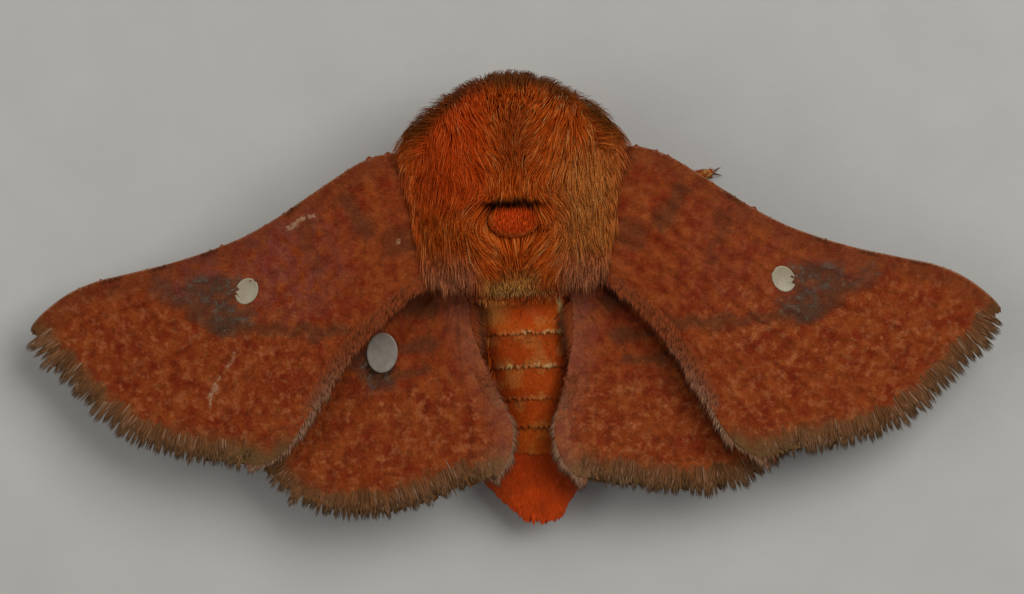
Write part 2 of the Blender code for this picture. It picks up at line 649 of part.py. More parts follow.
def build_thorax(feelers, finish, group):
    draw = random.Random(COAT_SEED)
    thorax = ellipsoid("thorax", THORAX_CENTRE, THORAX_RADII, THORAX_PITCH, 24, 14, finish, group)
    pieces = [
        ellipsoid("mantle", MANTLE_CENTRE, MANTLE_RADII, 0, 24, 14, finish, group),
        ellipsoid("patch", PATCH_CENTRE, PATCH_RADII, 0, 14, 8, finish, group),
        *back_hair(draw, finish, group),
        *collar_hair(draw, finish, group),
        *shoulder_hair(finish, group),
    ]
    boolean(thorax, pieces, "UNION", "MANIFOLD")
    for cutter in thorax_clearances(feelers, finish, group):
        boolean(thorax, [cutter], "DIFFERENCE", "MANIFOLD")


def build_head(finish, eye_finish, group):
    """The head with a socket cut for each eye."""
    head = ellipsoid("head", HEAD_CENTRE, HEAD_RADII, 0, 20, 12, finish, group)
    eyes = []
    for word, side in SIDES.items():
        centre = Vector((side * EYE_CENTRE.x, EYE_CENTRE.y, EYE_CENTRE.z))
        eyes.append(ellipsoid("eye_" + word, centre, EYE_RADII, 0, 16, 10, eye_finish, group))
    cut_clear(head, eyes, group)
    return head


def build_legs(finish, group):
    """Legs whose coxae stop short of the body, with flat soles on the floor."""
    for word, side in SIDES.items():
        for place, path in LEG_PATHS.items():
            leg = tube(f"leg_{place}_{word}", path, side, finish, group, FOOT_SHIFT.get(f"{place}_{word}"))
            radii = THORAX_RADII + Vector((GAP, GAP, GAP))
            clear = ellipsoid("thorax_clear", THORAX_CENTRE, radii, THORAX_PITCH, 24, 14, finish, group)
            boolean(leg, [clear], "DIFFERENCE")
            boolean(leg, [abdomen_clear(finish, group)], "DIFFERENCE")
            cut_level(leg, 0)


def build_feelers(head, finish, group):
    """Antennae and palps, which stop short of the head."""
    feelers = []
    for word, side in SIDES.items():
        for name, path in (("antenna_", ANTENNA_PATH), ("palp_", PALP_PATH)):
            feeler = tube(name + word, path, side, finish, group)
            cut_clear(feeler, [head], group)
            feelers.append(feeler)
    return feelers


def main():
    clear_scene()
    moth = collection("moth")
    coat = material("coat", (0.42, 0.13, 0.03), 0.8)
    scales = material("wing_scales", (0.33, 0.085, 0.03), 0.75)
    belly = material("abdomen_scales", (0.45, 0.15, 0.04), 0.75)
    tuft = material("tail_scales", (0.33, 0.06, 0.02), 0.8)
    limbs = material("limb_scales", (0.3, 0.1, 0.05), 0.7)
    lens = material("eye", (0.03, 0.015, 0.01), 0.25)
    head = build_head(coat, lens, moth)
    feelers = build_feelers(head, limbs, moth)
    build_thorax(feelers, coat, moth)
    build_wings(scales, moth)
    build_abdomen(belly, moth)
    build_tail(tuft, moth)
    build_legs(limbs, moth)


main()
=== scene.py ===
"""The looks of a window-winged moth at rest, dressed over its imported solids.

Shapes are worked out in millimetres in the solids' own frame: +X towards the moth's right, +Y towards
its head, +Z up, the floor at 0. They become metres when a mesh is made. A coat piece is thousands of
small closed tufts, each rooted on the skin and lying along it.
"""

import bpy
import numpy as np
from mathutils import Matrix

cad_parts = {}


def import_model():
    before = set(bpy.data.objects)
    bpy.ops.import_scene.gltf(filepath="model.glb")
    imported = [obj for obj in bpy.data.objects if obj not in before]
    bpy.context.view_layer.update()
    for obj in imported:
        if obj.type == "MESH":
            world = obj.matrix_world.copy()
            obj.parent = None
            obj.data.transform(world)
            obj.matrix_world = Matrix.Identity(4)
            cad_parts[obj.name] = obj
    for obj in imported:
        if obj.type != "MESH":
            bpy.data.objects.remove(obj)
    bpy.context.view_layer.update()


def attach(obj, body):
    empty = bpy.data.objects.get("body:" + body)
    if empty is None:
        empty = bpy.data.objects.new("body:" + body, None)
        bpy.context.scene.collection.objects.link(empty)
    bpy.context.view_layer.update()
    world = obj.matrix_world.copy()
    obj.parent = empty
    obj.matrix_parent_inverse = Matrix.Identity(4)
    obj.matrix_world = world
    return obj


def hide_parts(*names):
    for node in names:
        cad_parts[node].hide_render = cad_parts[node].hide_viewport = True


MM = 0.001
SEED = 11

# The photograph: the breadth that it covers at the wings' height, and where it is centred
VIEW_WIDTH = 29.05
VIEW_CENTRE = (-0.141, 0.033)
VIEW_ROLL = np.radians(-2.0)
CAMERA_DISTANCE = 250.0
WING_LEVEL = 3.5
SENSOR_WIDTH = 36.0

# Body forms under the coat: centres and radii
THORAX = ((0.0, 2.85, 3.6), (2.1, 2.7, 1.9))
MANTLE = ((0.0, 3.2, 4.4), (2.75, 2.95, 1.58))
MANTLE_SKIN = ((0.0, 3.25, 4.32), (2.5, 2.8, 1.56))
CAPE = {"centre": (0.0, 3.2), "half_width": 2.78, "front": 2.95, "rear": 3.3, "base": 4.36, "height": 1.74,
        "squareness": 2.4}
HEAD = ((0.0, 5.05, 3.15), (0.92, 0.98, 1.02))
EYE = ((1.12, 5.2, 3.15), (0.62, 0.72, 0.8))
PATCH = ((-0.02, 2.2, 5.69), (0.68, 0.44, 0.34))

# The abdomen: y, half-width, half-height and height of its middle, and the rear edge of each ring
ABDOMEN = ((1.6, 1.0, 0.95, 3.0), (1.0, 1.17, 1.07, 2.85), (0.1, 1.37, 1.17, 2.5), (-1.2, 1.34, 1.07, 2.1),
           (-2.4, 1.2, 0.97, 1.8), (-3.6, 1.0, 0.82, 1.55), (-4.35, 0.8, 0.64, 1.42), (-5.2, 0.6, 0.4, 1.2),
           (-5.7, 0.25, 0.18, 1.08))
RING_EDGES = (0.1, -0.95, -1.9, -2.8, -3.6, -4.35)
ABDOMEN_BEND = 0.05
ABDOMEN_X = 0.2
RING_STEP = 0.06

# The wings lie on one shallow roof: its height at the hinge, and how it falls outwards and backwards
ROOF_HEIGHT = 4.55
ROOF_HINGE = (2.4, 3.0)
ROOF_FALL_OUT = 0.115
ROOF_DROOP = 0.009
ROOF_FALL_BACK = 0.09
HINDWING_DROP = 0.93
SCALE_DEPTH = 0.05
MEMBRANE = 0.1
VEIN_HEIGHT = 0.05
VEIN_HALF_WIDTH = 0.075

# Right wings in plan: leading edge, outer margin with its fringe, trailing edge
FOREWING_COSTA = ((2.2, 4.0), (3.3, 4.2), (4.2, 4.0), (5.0, 3.55), (6.0, 2.9), (7.0, 2.27), (8.0, 1.78),
                  (9.5, 1.28), (11.0, 0.93), (12.0, 0.7), (12.9, 0.3), (13.75, -0.4), (14.0, -0.98))
FOREWING_MARGIN = ((14.0, -0.98), (13.6, -1.65), (12.8, -2.4), (11.9, -3.25), (10.8, -4.05), (9.4, -4.45),
                   (8.2, -4.6))
FOREWING_DORSUM = ((1.75, 0.95), (2.9, 0.2), (3.9, -0.75), (4.8, -2.0), (5.5, -3.2), (6.2, -4.25))
FOREWING_TORNUS = (7.1, -4.8)
DORSUM_OUT = {"left": 0.5, "right": -0.05}
HINDWING_COSTA = ((1.75, 1.3), (4.4, 0.5), (6.4, -0.7), (7.7, -2.3), (8.0, -3.5))
HINDWING_MARGIN = ((8.0, -3.5), (7.7, -4.6), (6.7, -5.5), (5.2, -6.0), (3.8, -5.9), (2.6, -5.55),
                   (1.6, -5.3), (1.1, -5.15))
HINDWING_DORSUM = ((1.5, 0.25), (1.45, -0.9), (1.1, -2.2), (0.62, -3.5), (0.68, -4.4), (1.1, -5.15))
FOREWING_HINGE = (2.4, 2.6)
HINDWING_HINGE = (2.2, 1.0)
FOREWING_SWEEP = {"left": np.radians(1.0), "right": np.radians(-1.0)}
HINDWING_SWEEP = {"left": np.radians(-4.0), "right": np.radians(4.0)}
FOREWING_VEINS = tuple(k / 8 for k in range(1, 8))
HINDWING_VEINS = tuple(k / 7 for k in range(1, 7))
FRINGE = 0.45

# The clear windows in plan on the right: centre, half-sizes and tilt
FOREWING_WINDOW = (7.62, 0.37, 0.29, 0.36, np.radians(30))
HINDWING_WINDOW = {"left": (4.05, -1.3, 0.41, 0.53, np.radians(10)),
                   "right": (4.45, -1.45, 0.41, 0.53, np.radians(10))}

# Legs on the right, from the thorax to the tip of the foot: x, y, z and radius
LEG_PATHS = {
    "front": ((0.75, 3.6, 2.4, 0.36), (0.95, 3.95, 1.4, 0.36), (1.3, 4.4, 1.25, 0.25), (2.0, 4.7, 1.75, 0.29),
              (2.05, 4.8, 1.4, 0.2), (1.85, 4.95, 0.55, 0.24), (1.8, 5.1, 0.25, 0.17), (1.8, 5.7, 0.2, 0.14)),
    "middle": ((0.7, 2.3, 2.4, 0.39), (1.0, 2.4, 1.3, 0.36), (1.5, 2.7, 1.45, 0.25), (2.7, 3.0, 2.35, 0.29),
               (3.1, 3.05, 1.95, 0.2), (4.0, 3.15, 0.6, 0.24), (4.3, 3.2, 0.28, 0.17), (5.45, 3.25, 0.2, 0.14)),
    "hind": ((0.7, 1.5, 2.6, 0.36), (1.1, 1.25, 1.35, 0.34), (1.6, 1.0, 1.4, 0.25), (2.2, 0.5, 2.05, 0.29),
             (2.5, 0.1, 1.75, 0.2), (3.0, -1.1, 0.6, 0.24), (3.1, -1.35, 0.28, 0.17), (3.4, -2.6, 0.2, 0.14)),
}
FOOT_SHIFT = {"middle_right": (0.3, 0.15, 0.0), "middle_left": (-0.2, -0.3, 0.0)}

# Feelers and palps on the right: x, y, z and radius
ANTENNA_PATH = ((0.45, 5.1, 3.9, 0.2), (0.75, 5.45, 4.48, 0.2), (1.6, 5.2, 4.4, 0.17), (2.5, 4.4, 3.65, 0.16),
                (3.4, 3.5, 3.2, 0.15), (4.4, 2.75, 2.95, 0.14), (5.2, 2.0, 2.75, 0.12), (5.7, 1.3, 2.6, 0.06))
PALP_PATH = ((0.42, 5.2, 2.2, 0.2), (0.44, 5.75, 1.8, 0.24), (0.46, 6.1, 2.2, 0.22), (0.46, 6.18, 2.9, 0.19),
             (0.44, 6.12, 3.38, 0.08))

SIDES = {"right": 1, "left": -1}


# Numbers

def soft_step(low, high, value):
    """0 below low, 1 above high, and a smooth cubic between."""
    t = np.clip((value - low) / (high - low), 0, 1)
    return t * t * (3 - 2 * t)


def unit(vectors):
    """Each vector divided by its length."""
    return vectors / np.maximum(np.linalg.norm(vectors, axis=-1, keepdims=True), 1e-12)


def smooth_noise(points, size, seed):
    """Value noise from -1 to 1: random numbers on a lattice of that size, blended by smooth steps between corners."""
    cell = np.asarray(points, float) / size
    base = np.floor(cell).astype(int)
    share = cell - base
    share = share * share * (3 - 2 * share)
    total = np.zeros(cell.shape[:-1])
    for corner in np.ndindex(*(2,) * cell.shape[-1]):
        corner = np.array(corner)
        hashed = ((base + corner) * (73856093, 19349663, 83492791)[:cell.shape[-1]]).sum(-1) + seed * 2654435
        value = np.sin(hashed % 100003 * 12.9898) * 43758.5453
        weight = np.prod(np.where(corner, share, 1 - share), axis=-1)
        total += (2 * (value - np.floor(value)) - 1) * weight
    return total


def even_curve(points, count):
    """count points evenly spaced along a Catmull-Rom curve through the given ones."""
    points = np.array(points, float)
    ends = np.vstack([2 * points[0] - points[1], points, 2 * points[-1] - points[-2]])
    t = np.linspace(0, 1, 24, endpoint=False)[:, None]
    pieces = [0.5 * (2 * b + (c - a) * t + (2 * a - 5 * b + 4 * c - d) * t**2 + (3 * b - a - 3 * c + d) * t**3)
              for a, b, c, d in zip(ends, ends[1:], ends[2:], ends[3:])]
    dense = np.vstack([*pieces, points[-1:]])
    along = np.concatenate([[0], np.cumsum(np.linalg.norm(np.diff(dense, axis=0), axis=1))])
    wanted = np.linspace(0, along[-1], count)
    return np.stack([np.interp(wanted, along, dense[:, k]) for k in range(dense.shape[1])], axis=1)


def on_curve(curve, share):
    """The point at that share of an evenly spaced curve."""
    place = np.clip(share, 0, 1) * (len(curve) - 1)
    knots = np.arange(len(curve))
    return np.stack([np.interp(place, knots, curve[:, k]) for k in range(curve.shape[1])], axis=-1)


def blob(plan, centre, radius, softness=0.5):
    """1 within a disc and 0 outside, with a soft rim."""
    away = np.hypot(plan[..., 0] - centre[0], plan[..., 1] - centre[1])
    return 1 - soft_step(radius * (1 - softness), radius * (1 + softness), away)


def stroke(plan, line, half_width):
    """1 on a drawn line through the points and 0 beyond its half-width, with soft sides."""
    nearest = np.full(plan.shape[:-1], np.inf)
    for start, end in zip(line, line[1:]):
        start, run = np.array(start), np.subtract(end, start)
        t = np.clip(((plan - start) @ run) / (run @ run), 0, 1)
        nearest = np.minimum(nearest, np.linalg.norm(plan - start - t[..., None] * run, axis=-1))
    return 1 - soft_step(0.4 * half_width, 1.5 * half_width, nearest)


def edge_distance(plan, curve):
    """The distance from each plan point to the nearest point of a curve, taken in batches."""
    flat = plan.reshape(-1, 2)
    found = np.empty(len(flat))
    for start in range(0, len(flat), 4000):
        batch = flat[start:start + 4000]
        found[start:start + 4000] = np.linalg.norm(batch[:, None] - curve[None], axis=2).min(1)
    return found.reshape(plan.shape[:-1])


# Meshes

def add_piece(name, points, faces, finish, attributes=None, uv=None, smooth=True):
    """A mesh object from points in millimetres and faces of three or four corners, which rides on the body."""
    faces = np.asarray(faces, np.int32)
    mesh = bpy.data.meshes.new(name)
    mesh.vertices.add(len(points))
    mesh.vertices.foreach_set("co", (np.asarray(points) * MM).astype(np.float32).ravel())
    mesh.loops.add(faces.size)
    mesh.loops.foreach_set("vertex_index", faces.ravel())
    mesh.polygons.add(len(faces))
    mesh.polygons.foreach_set("loop_start", np.arange(0, faces.size, faces.shape[1], dtype=np.int32))
    mesh.polygons.foreach_set("use_smooth", np.full(len(faces), smooth))
    mesh.update(calc_edges=True)
    for key, values in (attributes or {}).items():
        mesh.attributes.new(key, "FLOAT", "POINT").data.foreach_set("value", values.astype(np.float32).ravel())
    if uv is not None:
        layer = mesh.uv_layers.new(name="OFBake")
        layer.data.foreach_set("uv", uv[faces.ravel()].astype(np.float32).ravel())
    mesh.materials.append(finish)
    obj = bpy.data.objects.new(name, mesh)
    bpy.context.scene.collection.objects.link(obj)
    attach(obj, "root")
    return obj


def grid_faces(rows, columns, wrap=False):
    """The quads of a grid of points, row after row. With wrap the last column joins the first."""
    row, column = np.meshgrid(np.arange(rows - 1), np.arange(columns if wrap else columns - 1), indexing="ij")
    following = (column + 1) % columns
    here, there = row * columns, (row + 1) * columns
    return np.stack([here + column, here + following, there + following, there + column], -1).reshape(-1, 4)


def closed_rings(rings):
    """A closed body through rings of points: quads between them, and at each end a fan to the ring's middle."""
    rows, columns = rings.shape[:2]
    points = np.vstack([rings.reshape(-1, 3), rings[0].mean(0), rings[-1].mean(0)])
    around = np.arange(columns)
    following = (around + 1) % columns
    last = (rows - 1) * columns
    tops = np.stack([following, around, np.full(columns, rows * columns)], 1)
    tails = np.stack([last + around, last + following, np.full(columns, rows * columns + 1)], 1)
    quads = grid_faces(rows, columns, wrap=True)
    return points, np.vstack([quads[:, :3], quads[:, [0, 2, 3]], tops, tails])


def ellipsoid_rings(centre, radii, rows=40, columns=56):
    """A sphere stretched to three radii, with its poles front and back: rings from the front backwards."""
    polar = np.linspace(0.02, np.pi - 0.02, rows)[:, None]
    turn = np.linspace(0, 2 * np.pi, columns, endpoint=False)[None]
    ball = np.stack([np.sin(polar) * np.sin(turn), np.cos(polar) * np.ones_like(turn), np.sin(polar) * np.cos(turn)], -1)
    return np.array(centre) + ball * np.array(radii)


def path_frames(path):
    """Along a path: unit tangents, and two unit vectors across it that don't twist much."""
    tangent = unit(np.gradient(path, axis=0))
    guide = np.array((0.0, 0.3, 1.0)) if abs(unit(path[-1] - path[0])[2]) < 0.8 else np.array((0.0, 1.0, 0.3))
    side = unit(np.cross(tangent, guide))
    return tangent, side, np.cross(side, tangent)


def tube_rings(path, radius, columns=16):
    """A round profile carried along a path with a radius at each of its points."""
    _, side, up = path_frames(path)
    turn = np.linspace(0, 2 * np.pi, columns, endpoint=False)[None, :, None]
    return path[:, None] + radius[:, None, None] * (np.cos(turn) * side[:, None] + np.sin(turn) * up[:, None])


def hair(name, spine, normal, width, finish, root_uv, attributes=None, flat=0.5):
    """Hair-scales as closed three-sided spikes: equal sections along each spine, swelling, then tapering to a point.

    spine is (hairs, sections + 1, 3). normal faces away from the skin at each point. width is each hair's breadth.
    """
    count, knots = spine.shape[:2]
    sections = knots - 1
    along = unit(np.gradient(spine, axis=1))
    side = unit(np.cross(along, normal))
    up = np.cross(side, along)
    share = np.arange(sections) / sections
    swell = (0.55 + 0.45 * np.sin(np.pi * np.minimum(1, share * 1.3 + 0.15))) * (1 - 0.35 * share)
    half = width[:, None] / 2 * swell[None]
    body = spine[:, :sections, None] + half[..., None, None] * np.stack(
        [side[:, :sections], -side[:, :sections], 2 * flat * up[:, :sections]], axis=2)
    points = np.concatenate([body.reshape(count, -1, 3), spine[:, -1:]], axis=1)
    faces = [(0, 1, 2)]
    for k in range(sections - 1):
        for a, b in ((0, 1), (1, 2), (2, 0)):
            a, b = 3 * k + a, 3 * k + b
            faces += [(a, a + 3, b + 3), (a, b + 3, b)]
    tip, last = 3 * sections, 3 * sections - 3
    faces += [(last, tip, last + 1), (last + 1, tip, last + 2), (last + 2, tip, last)]
    size = 3 * sections + 1
    faces = np.array(faces)[None] + size * np.arange(count)[:, None, None]
    run = np.append(np.repeat(share, 3), 1.0)
    corner = np.append(np.tile((0.0, 1.0, 0.5), sections), 0.5)
    patch = np.stack([corner * 0.003, run * 0.003], 1)
    marks = {key: np.repeat(values, size) if values.ndim == 1 else values for key, values in (attributes or {}).items()}
    marks["along"] = np.tile(run, count)
    uv = (root_uv[:, None] + patch[None]).reshape(-1, 2)
    return add_piece(name, points.reshape(-1, 3), faces.reshape(-1, 3), finish, marks, uv)


def scales(name, root, along, normal, length, width, lift, finish, root_uv, attributes=None):
    """Flat scales as closed kites: root, two sides, tip, and a ridge above and below, tip lifted off the skin."""
    side = np.cross(along, normal)
    length, width, lift = length[:, None], width[:, None], np.asarray(lift)[:, None]
    thick = 0.05 * width
    tip = root + along * length + normal * lift
    middle = root + along * length * 0.62 + normal * lift * 0.8
    points = np.stack([root, middle - side * width / 2, tip, middle + side * width / 2,
                       middle + normal * thick, middle - normal * thick], axis=1)
    faces = np.array([(0, 3, 4), (3, 2, 4), (2, 1, 4), (1, 0, 4), (3, 0, 5), (2, 3, 5), (1, 2, 5), (0, 1, 5)])
    faces = faces[None] + 6 * np.arange(len(root))[:, None, None]
    run = np.array((0, 0.62, 1, 0.62, 0.62, 0.62))
    across = np.array((0.5, 0, 0.5, 1, 0.5, 0.5))
    patch = np.stack([across, run], 1) * 0.003
    uv = (root_uv[:, None] + patch[None]).reshape(-1, 2)
    marks = {key: np.repeat(values, 6) for key, values in (attributes or {}).items()}
    marks["along"] = np.tile(run, len(root))
    return add_piece(name, points.reshape(-1, 3), faces.reshape(-1, 3), finish, marks, uv, smooth=False)


# Materials

def linear(hex_colour):
    """An sRGB hex colour as linear numbers with alpha."""
    value = np.array([int(hex_colour[k:k + 2], 16) for k in (1, 3, 5)]) / 255
    value = np.where(value <= 0.04045, value / 12.92, ((value + 0.055) / 1.055)**2.4)
    return (*value, 1.0)


def add_node(tree, kind, inputs=None, **settings):
    """Adds a node, sets its properties, and gives its inputs values or links from other sockets."""
    node = tree.nodes.new(kind)
    for key, value in settings.items():
        setattr(node, key, value)
    for key, value in (inputs or {}).items():
        if isinstance(value, bpy.types.NodeSocket):
            tree.links.new(value, node.inputs[key])
        else:
            node.inputs[key].default_value = value
    return node


def new_finish(name, roughness, specular, gloss="#FFFFFF"):
    """A material with its tree and shader. The shader's own sockets hold what is the same all over."""
    made = bpy.data.materials.new(name)
    made.use_nodes = True
    tree = made.node_tree
    shader = tree.nodes["Principled BSDF"]
    shader.inputs["Roughness"].default_value = roughness
    shader.inputs["Specular IOR Level"].default_value = specular
    shader.inputs["Specular Tint"].default_value = linear(gloss)
    return made, tree, shader


def grain(tree, size, detail=2.0, stretch=(1, 1, 1)):
    """A noise of that size in millimetres over the piece's own coordinates, from 0 to 1."""
    place = add_node(tree, "ShaderNodeTexCoord")
    mapping = add_node(tree, "ShaderNodeMapping", {"Vector": place.outputs["Object"], "Scale": stretch})
    noise = add_node(tree, "ShaderNodeTexNoise", {"Vector": mapping.outputs[0], "Scale": 1 / (size * MM),
                                                  "Detail": detail, "Roughness": 0.6})
    return noise.outputs["Fac"]


def remap(tree, value, low, high, to_low=0.0, to_high=1.0):
    """The value carried from one range to another, clamped."""
    made = add_node(tree, "ShaderNodeMapRange", {"Value": value, "From Min": low, "From Max": high,
                                                 "To Min": to_low, "To Max": to_high})
    return made.outputs[0]


def product(tree, a, b):
    return add_node(tree, "ShaderNodeMath", {0: a, 1: b}, operation="MULTIPLY").outputs[0]


def mixed(tree, share, colour, other, blend="MIX"):
    """Two colours mixed by a share. Each is a socket or an sRGB hex colour."""
    made = add_node(tree, "ShaderNodeMix", data_type="RGBA", blend_type=blend)
    for socket, value in ((made.inputs[0], share), (made.inputs[6], colour), (made.inputs[7], other)):
        if isinstance(value, bpy.types.NodeSocket):
            tree.links.new(value, socket)
        else:
            socket.default_value = linear(value) if isinstance(value, str) else value
    return made.outputs[2]


def mark(tree, name):
    """A number that the mesh carries, 0 where it carries none."""
    return add_node(tree, "ShaderNodeAttribute", attribute_name=name).outputs["Fac"]


def relief(tree, shader, height, depth):
    """Bump of that depth in millimetres from a height between 0 and 1."""
    bump = add_node(tree, "ShaderNodeBump", {"Height": height, "Distance": depth * MM, "Strength": 1.0})
    tree.links.new(bump.outputs[0], shader.inputs["Normal"])


def varied(tree, colour, spread):
    """The colour made lighter or darker from tuft to tuft by the mesh's own tint."""
    value = remap(tree, mark(tree, "tint"), -1, 1, 1 - spread, 1 + spread)
    toned = add_node(tree, "ShaderNodeHueSaturation", {"Color": colour, "Value": value, "Fac": 1.0})
    return toned.outputs[0]


def wing_scale_finish(name):
    """Wing scales: dull pigmented chitin with a faint gloss of its own colour, rust mottled with soft tan flecks.

    Flecks of a third of a millimetre come from paler scales. The markings come with the mesh.
    """
    made, tree, shader = new_finish(name, 0.6, 0.2, "#E09060")
    warm = remap(tree, grain(tree, 0.45, 3.0), 0.35, 0.65)
    colour = mixed(tree, warm, "#782812", "#90431C")
    reds = remap(tree, grain(tree, 0.35, 3.0), 0.38, 0.6)
    colour = mixed(tree, product(tree, reds, mark(tree, "wine")), colour, "#7A3A32")
    cells = remap(tree, grain(tree, 0.24, 2.5), 0.5, 0.72, 0.0, 0.6)
    colour = mixed(tree, product(tree, cells, mark(tree, "mottle")), colour, "#B06A3E")
    lines = remap(tree, grain(tree, 0.26, 3.0), 0.36, 0.48, 0.6, 0.0)
    colour = mixed(tree, product(tree, lines, mark(tree, "net")), colour, "#521E10")
    for key, shade in (("olive", "#604A2C"), ("dusk", "#50301F"), ("soot", "#43362A"), ("black", "#21160F"),
                       ("pale", "#B08C6C"), ("grey", "#6C6054")):
        colour = mixed(tree, mark(tree, key), colour, shade)
    colour = varied(tree, colour, 0.16)
    tree.links.new(colour, shader.inputs["Base Color"])
    relief(tree, shader, grain(tree, 0.03, 2.0), 0.006)
    return made


def coat_finish(name):
    """Long hair-scales: silky, with a gloss of their own colour, rust to tan, with painted shade making each hair
    darker towards its root, as deep in the coat.
    """
    made, tree, shader = new_finish(name, 0.52, 0.4, "#E8924E")
    tone = remap(tree, mark(tree, "tint"), -1, 1)
    colour = mixed(tree, remap(tree, tone, 0.0, 0.5), "#B4420E", "#D45C16")
    colour = mixed(tree, remap(tree, tone, 0.6, 1.0), colour, "#DD8E46")
    # Some of these carry painted light on the hood: cream its highlights on single hairs, tan partly the light on its
    # right side, black the shade in the slit, flank partly the shade in its furrow.
    for key, shade in (("red", "#D64412"), ("tan", "#E09A4C"), ("rose", "#CC8A62"), ("ochre", "#DCA050"), ("wing", "#B4542A"),
                       ("olive", "#562F0E"), ("flank", "#7C3016"), ("cream", "#D8B876"), ("black", "#160E0A")):
        colour = mixed(tree, mark(tree, key), colour, shade)
    # Painted shade: each hair darker towards its root, standing for the shade deep in the coat; the mesh's even number
    # is the least it falls to.
    painted_root_shade = remap(tree, mark(tree, "along"), 0, 0.6, 0.76, 1.0)
    depth = add_node(tree, "ShaderNodeMath", {0: painted_root_shade, 1: mark(tree, "even")}, operation="MAXIMUM").outputs[0]
    toned = add_node(tree, "ShaderNodeHueSaturation", {"Color": colour, "Value": depth, "Fac": 1.0})
    colour = varied(tree, toned.outputs[0], 0.14)
    tree.links.new(colour, shader.inputs["Base Color"])
    return made


def skin_finish(name):
    """Soft cuticle under the coat: dull rust brown with a fine leathery grain, seen only between the tufts."""
    made, tree, shader = new_finish(name, 0.7, 0.2, "#E8A070")
    shade = remap(tree, grain(tree, 0.2, 3.0), 0.35, 0.65)
    colour = mixed(tree, shade, "#8A3A12", "#A34A1A")
    # black is painted shade in the slit, and flank is partly painted shade in the hood's furrow.
    for key, other in (("red", "#A83410"), ("ochre", "#9A6A30"), ("olive", "#543014"), ("flank", "#5E200E"),
                       ("cream", "#B89A5E"), ("black", "#120C08")):
        colour = mixed(tree, mark(tree, key), colour, other)
    tree.links.new(colour, shader.inputs["Base Color"])
    relief(tree, shader, grain(tree, 0.06, 3.0), 0.012)
    return made


def fringe_finish(name):
    """Fringe of long narrow scales: dull olive-brown at the wing, a little paler at the tips."""
    made, tree, shader = new_finish(name, 0.6, 0.2, "#E0A880")
    colour = mixed(tree, remap(tree, mark(tree, "tint"), -1, 1), "#6A4E2E", "#826444")
    colour = mixed(tree, mark(tree, "rust"), colour, "#8C3F1E")
    colour = mixed(tree, remap(tree, mark(tree, "along"), 0.5, 1.0, 0.0, 0.3), colour, "#987A5C")
    colour = mixed(tree, mark(tree, "pale"), colour, "#B89C84")
    colour = varied(tree, colour, 0.08)
    tree.links.new(colour, shader.inputs["Base Color"])
    return made


def window_finish(name, shade, pale):
    """Clear wing film without scales: thin chitin, milky where it scatters light, smooth with a soft gloss. Its two
    colours carry painted shade: the shadowed floor under the wing, seen through the film, darkens them.
    """
    made, tree, shader = new_finish(name, 0.35, 0.4)
    colour = mixed(tree, remap(tree, grain(tree, 0.2, 1.0), 0.35, 0.65), shade, pale)
    tree.links.new(colour, shader.inputs["Base Color"])
    shader.inputs["Alpha"].default_value = 0.93
    relief(tree, shader, grain(tree, 0.12, 1.0), 0.003)
    return made


def eye_finish(name):
    """Compound eye: dark brown lens cuticle, glossy, with hexagonal facets drawn at 0.03 mm."""
    made, tree, shader = new_finish(name, 0.16, 0.6)
    place = add_node(tree, "ShaderNodeTexCoord")
    cells = add_node(tree, "ShaderNodeTexVoronoi", {"Vector": place.outputs["Object"], "Scale": 1 / (0.035 * MM)})
    colour = mixed(tree, remap(tree, grain(tree, 0.4, 2.0), 0.35, 0.65), "#1D100A", "#3A2012")
    tree.links.new(colour, shader.inputs["Base Color"])
    relief(tree, shader, remap(tree, cells.outputs["Distance"], 0.0, 0.7, 1.0, 0.0), 0.006)
    return made


def horn_finish(name):
    """Bare hard cuticle of feelers, claws and tongue: amber brown, satin, with fine cross rings."""
    made, tree, shader = new_finish(name, 0.4, 0.45)
    colour = mixed(tree, remap(tree, grain(tree, 0.12, 3.0), 0.35, 0.65), "#3E2113", "#6B4022")
    tree.links.new(colour, shader.inputs["Base Color"])
    relief(tree, shader, grain(tree, 0.04, 2.0), 0.006)
    return made


def floor_finish(name):
    """Pale matte paper with a faint tooth."""
    made, tree, shader = new_finish(name, 0.9, 0.1)
    colour = mixed(tree, remap(tree, grain(tree, 3.0, 3.0), 0.3, 0.7), "#BDBBB5", "#C2C0BA")
    tree.links.new(colour, shader.inputs["Base Color"])
    relief(tree, shader, grain(tree, 0.4, 3.0), 0.01)
    return made


# Wings

def wing_shape(word, side, fore):
    """A wing's edges as evenly spaced curves, its hinge, turn, drop below the roof, veins and window."""
    if fore:
        out = DORSUM_OUT[word]
        first, *rest = FOREWING_DORSUM
        corner = (FOREWING_TORNUS[0] + out, FOREWING_TORNUS[1] + 0.3 * out)
        dorsum = (first, *((x + out * k / len(rest), y) for k, (x, y) in enumerate(rest, start=1)), corner)
        edges = (FOREWING_COSTA, (*FOREWING_MARGIN, corner), dorsum)
        rest = {"hinge": FOREWING_HINGE, "sweep": FOREWING_SWEEP[word], "drop": 0.0, "veins": FOREWING_VEINS,
                "window": FOREWING_WINDOW}
    else:
        edges = (HINDWING_COSTA, HINDWING_MARGIN, HINDWING_DORSUM)
        rest = {"hinge": HINDWING_HINGE, "sweep": HINDWING_SWEEP[word], "drop": HINDWING_DROP,
                "veins": HINDWING_VEINS, "window": HINDWING_WINDOW[word]}
    costa, margin, dorsum = (even_curve(edge, 200) for edge in edges)
    return {"costa": costa, "margin": margin, "dorsum": dorsum, "side": side, "fore": fore, "word": word, **rest}


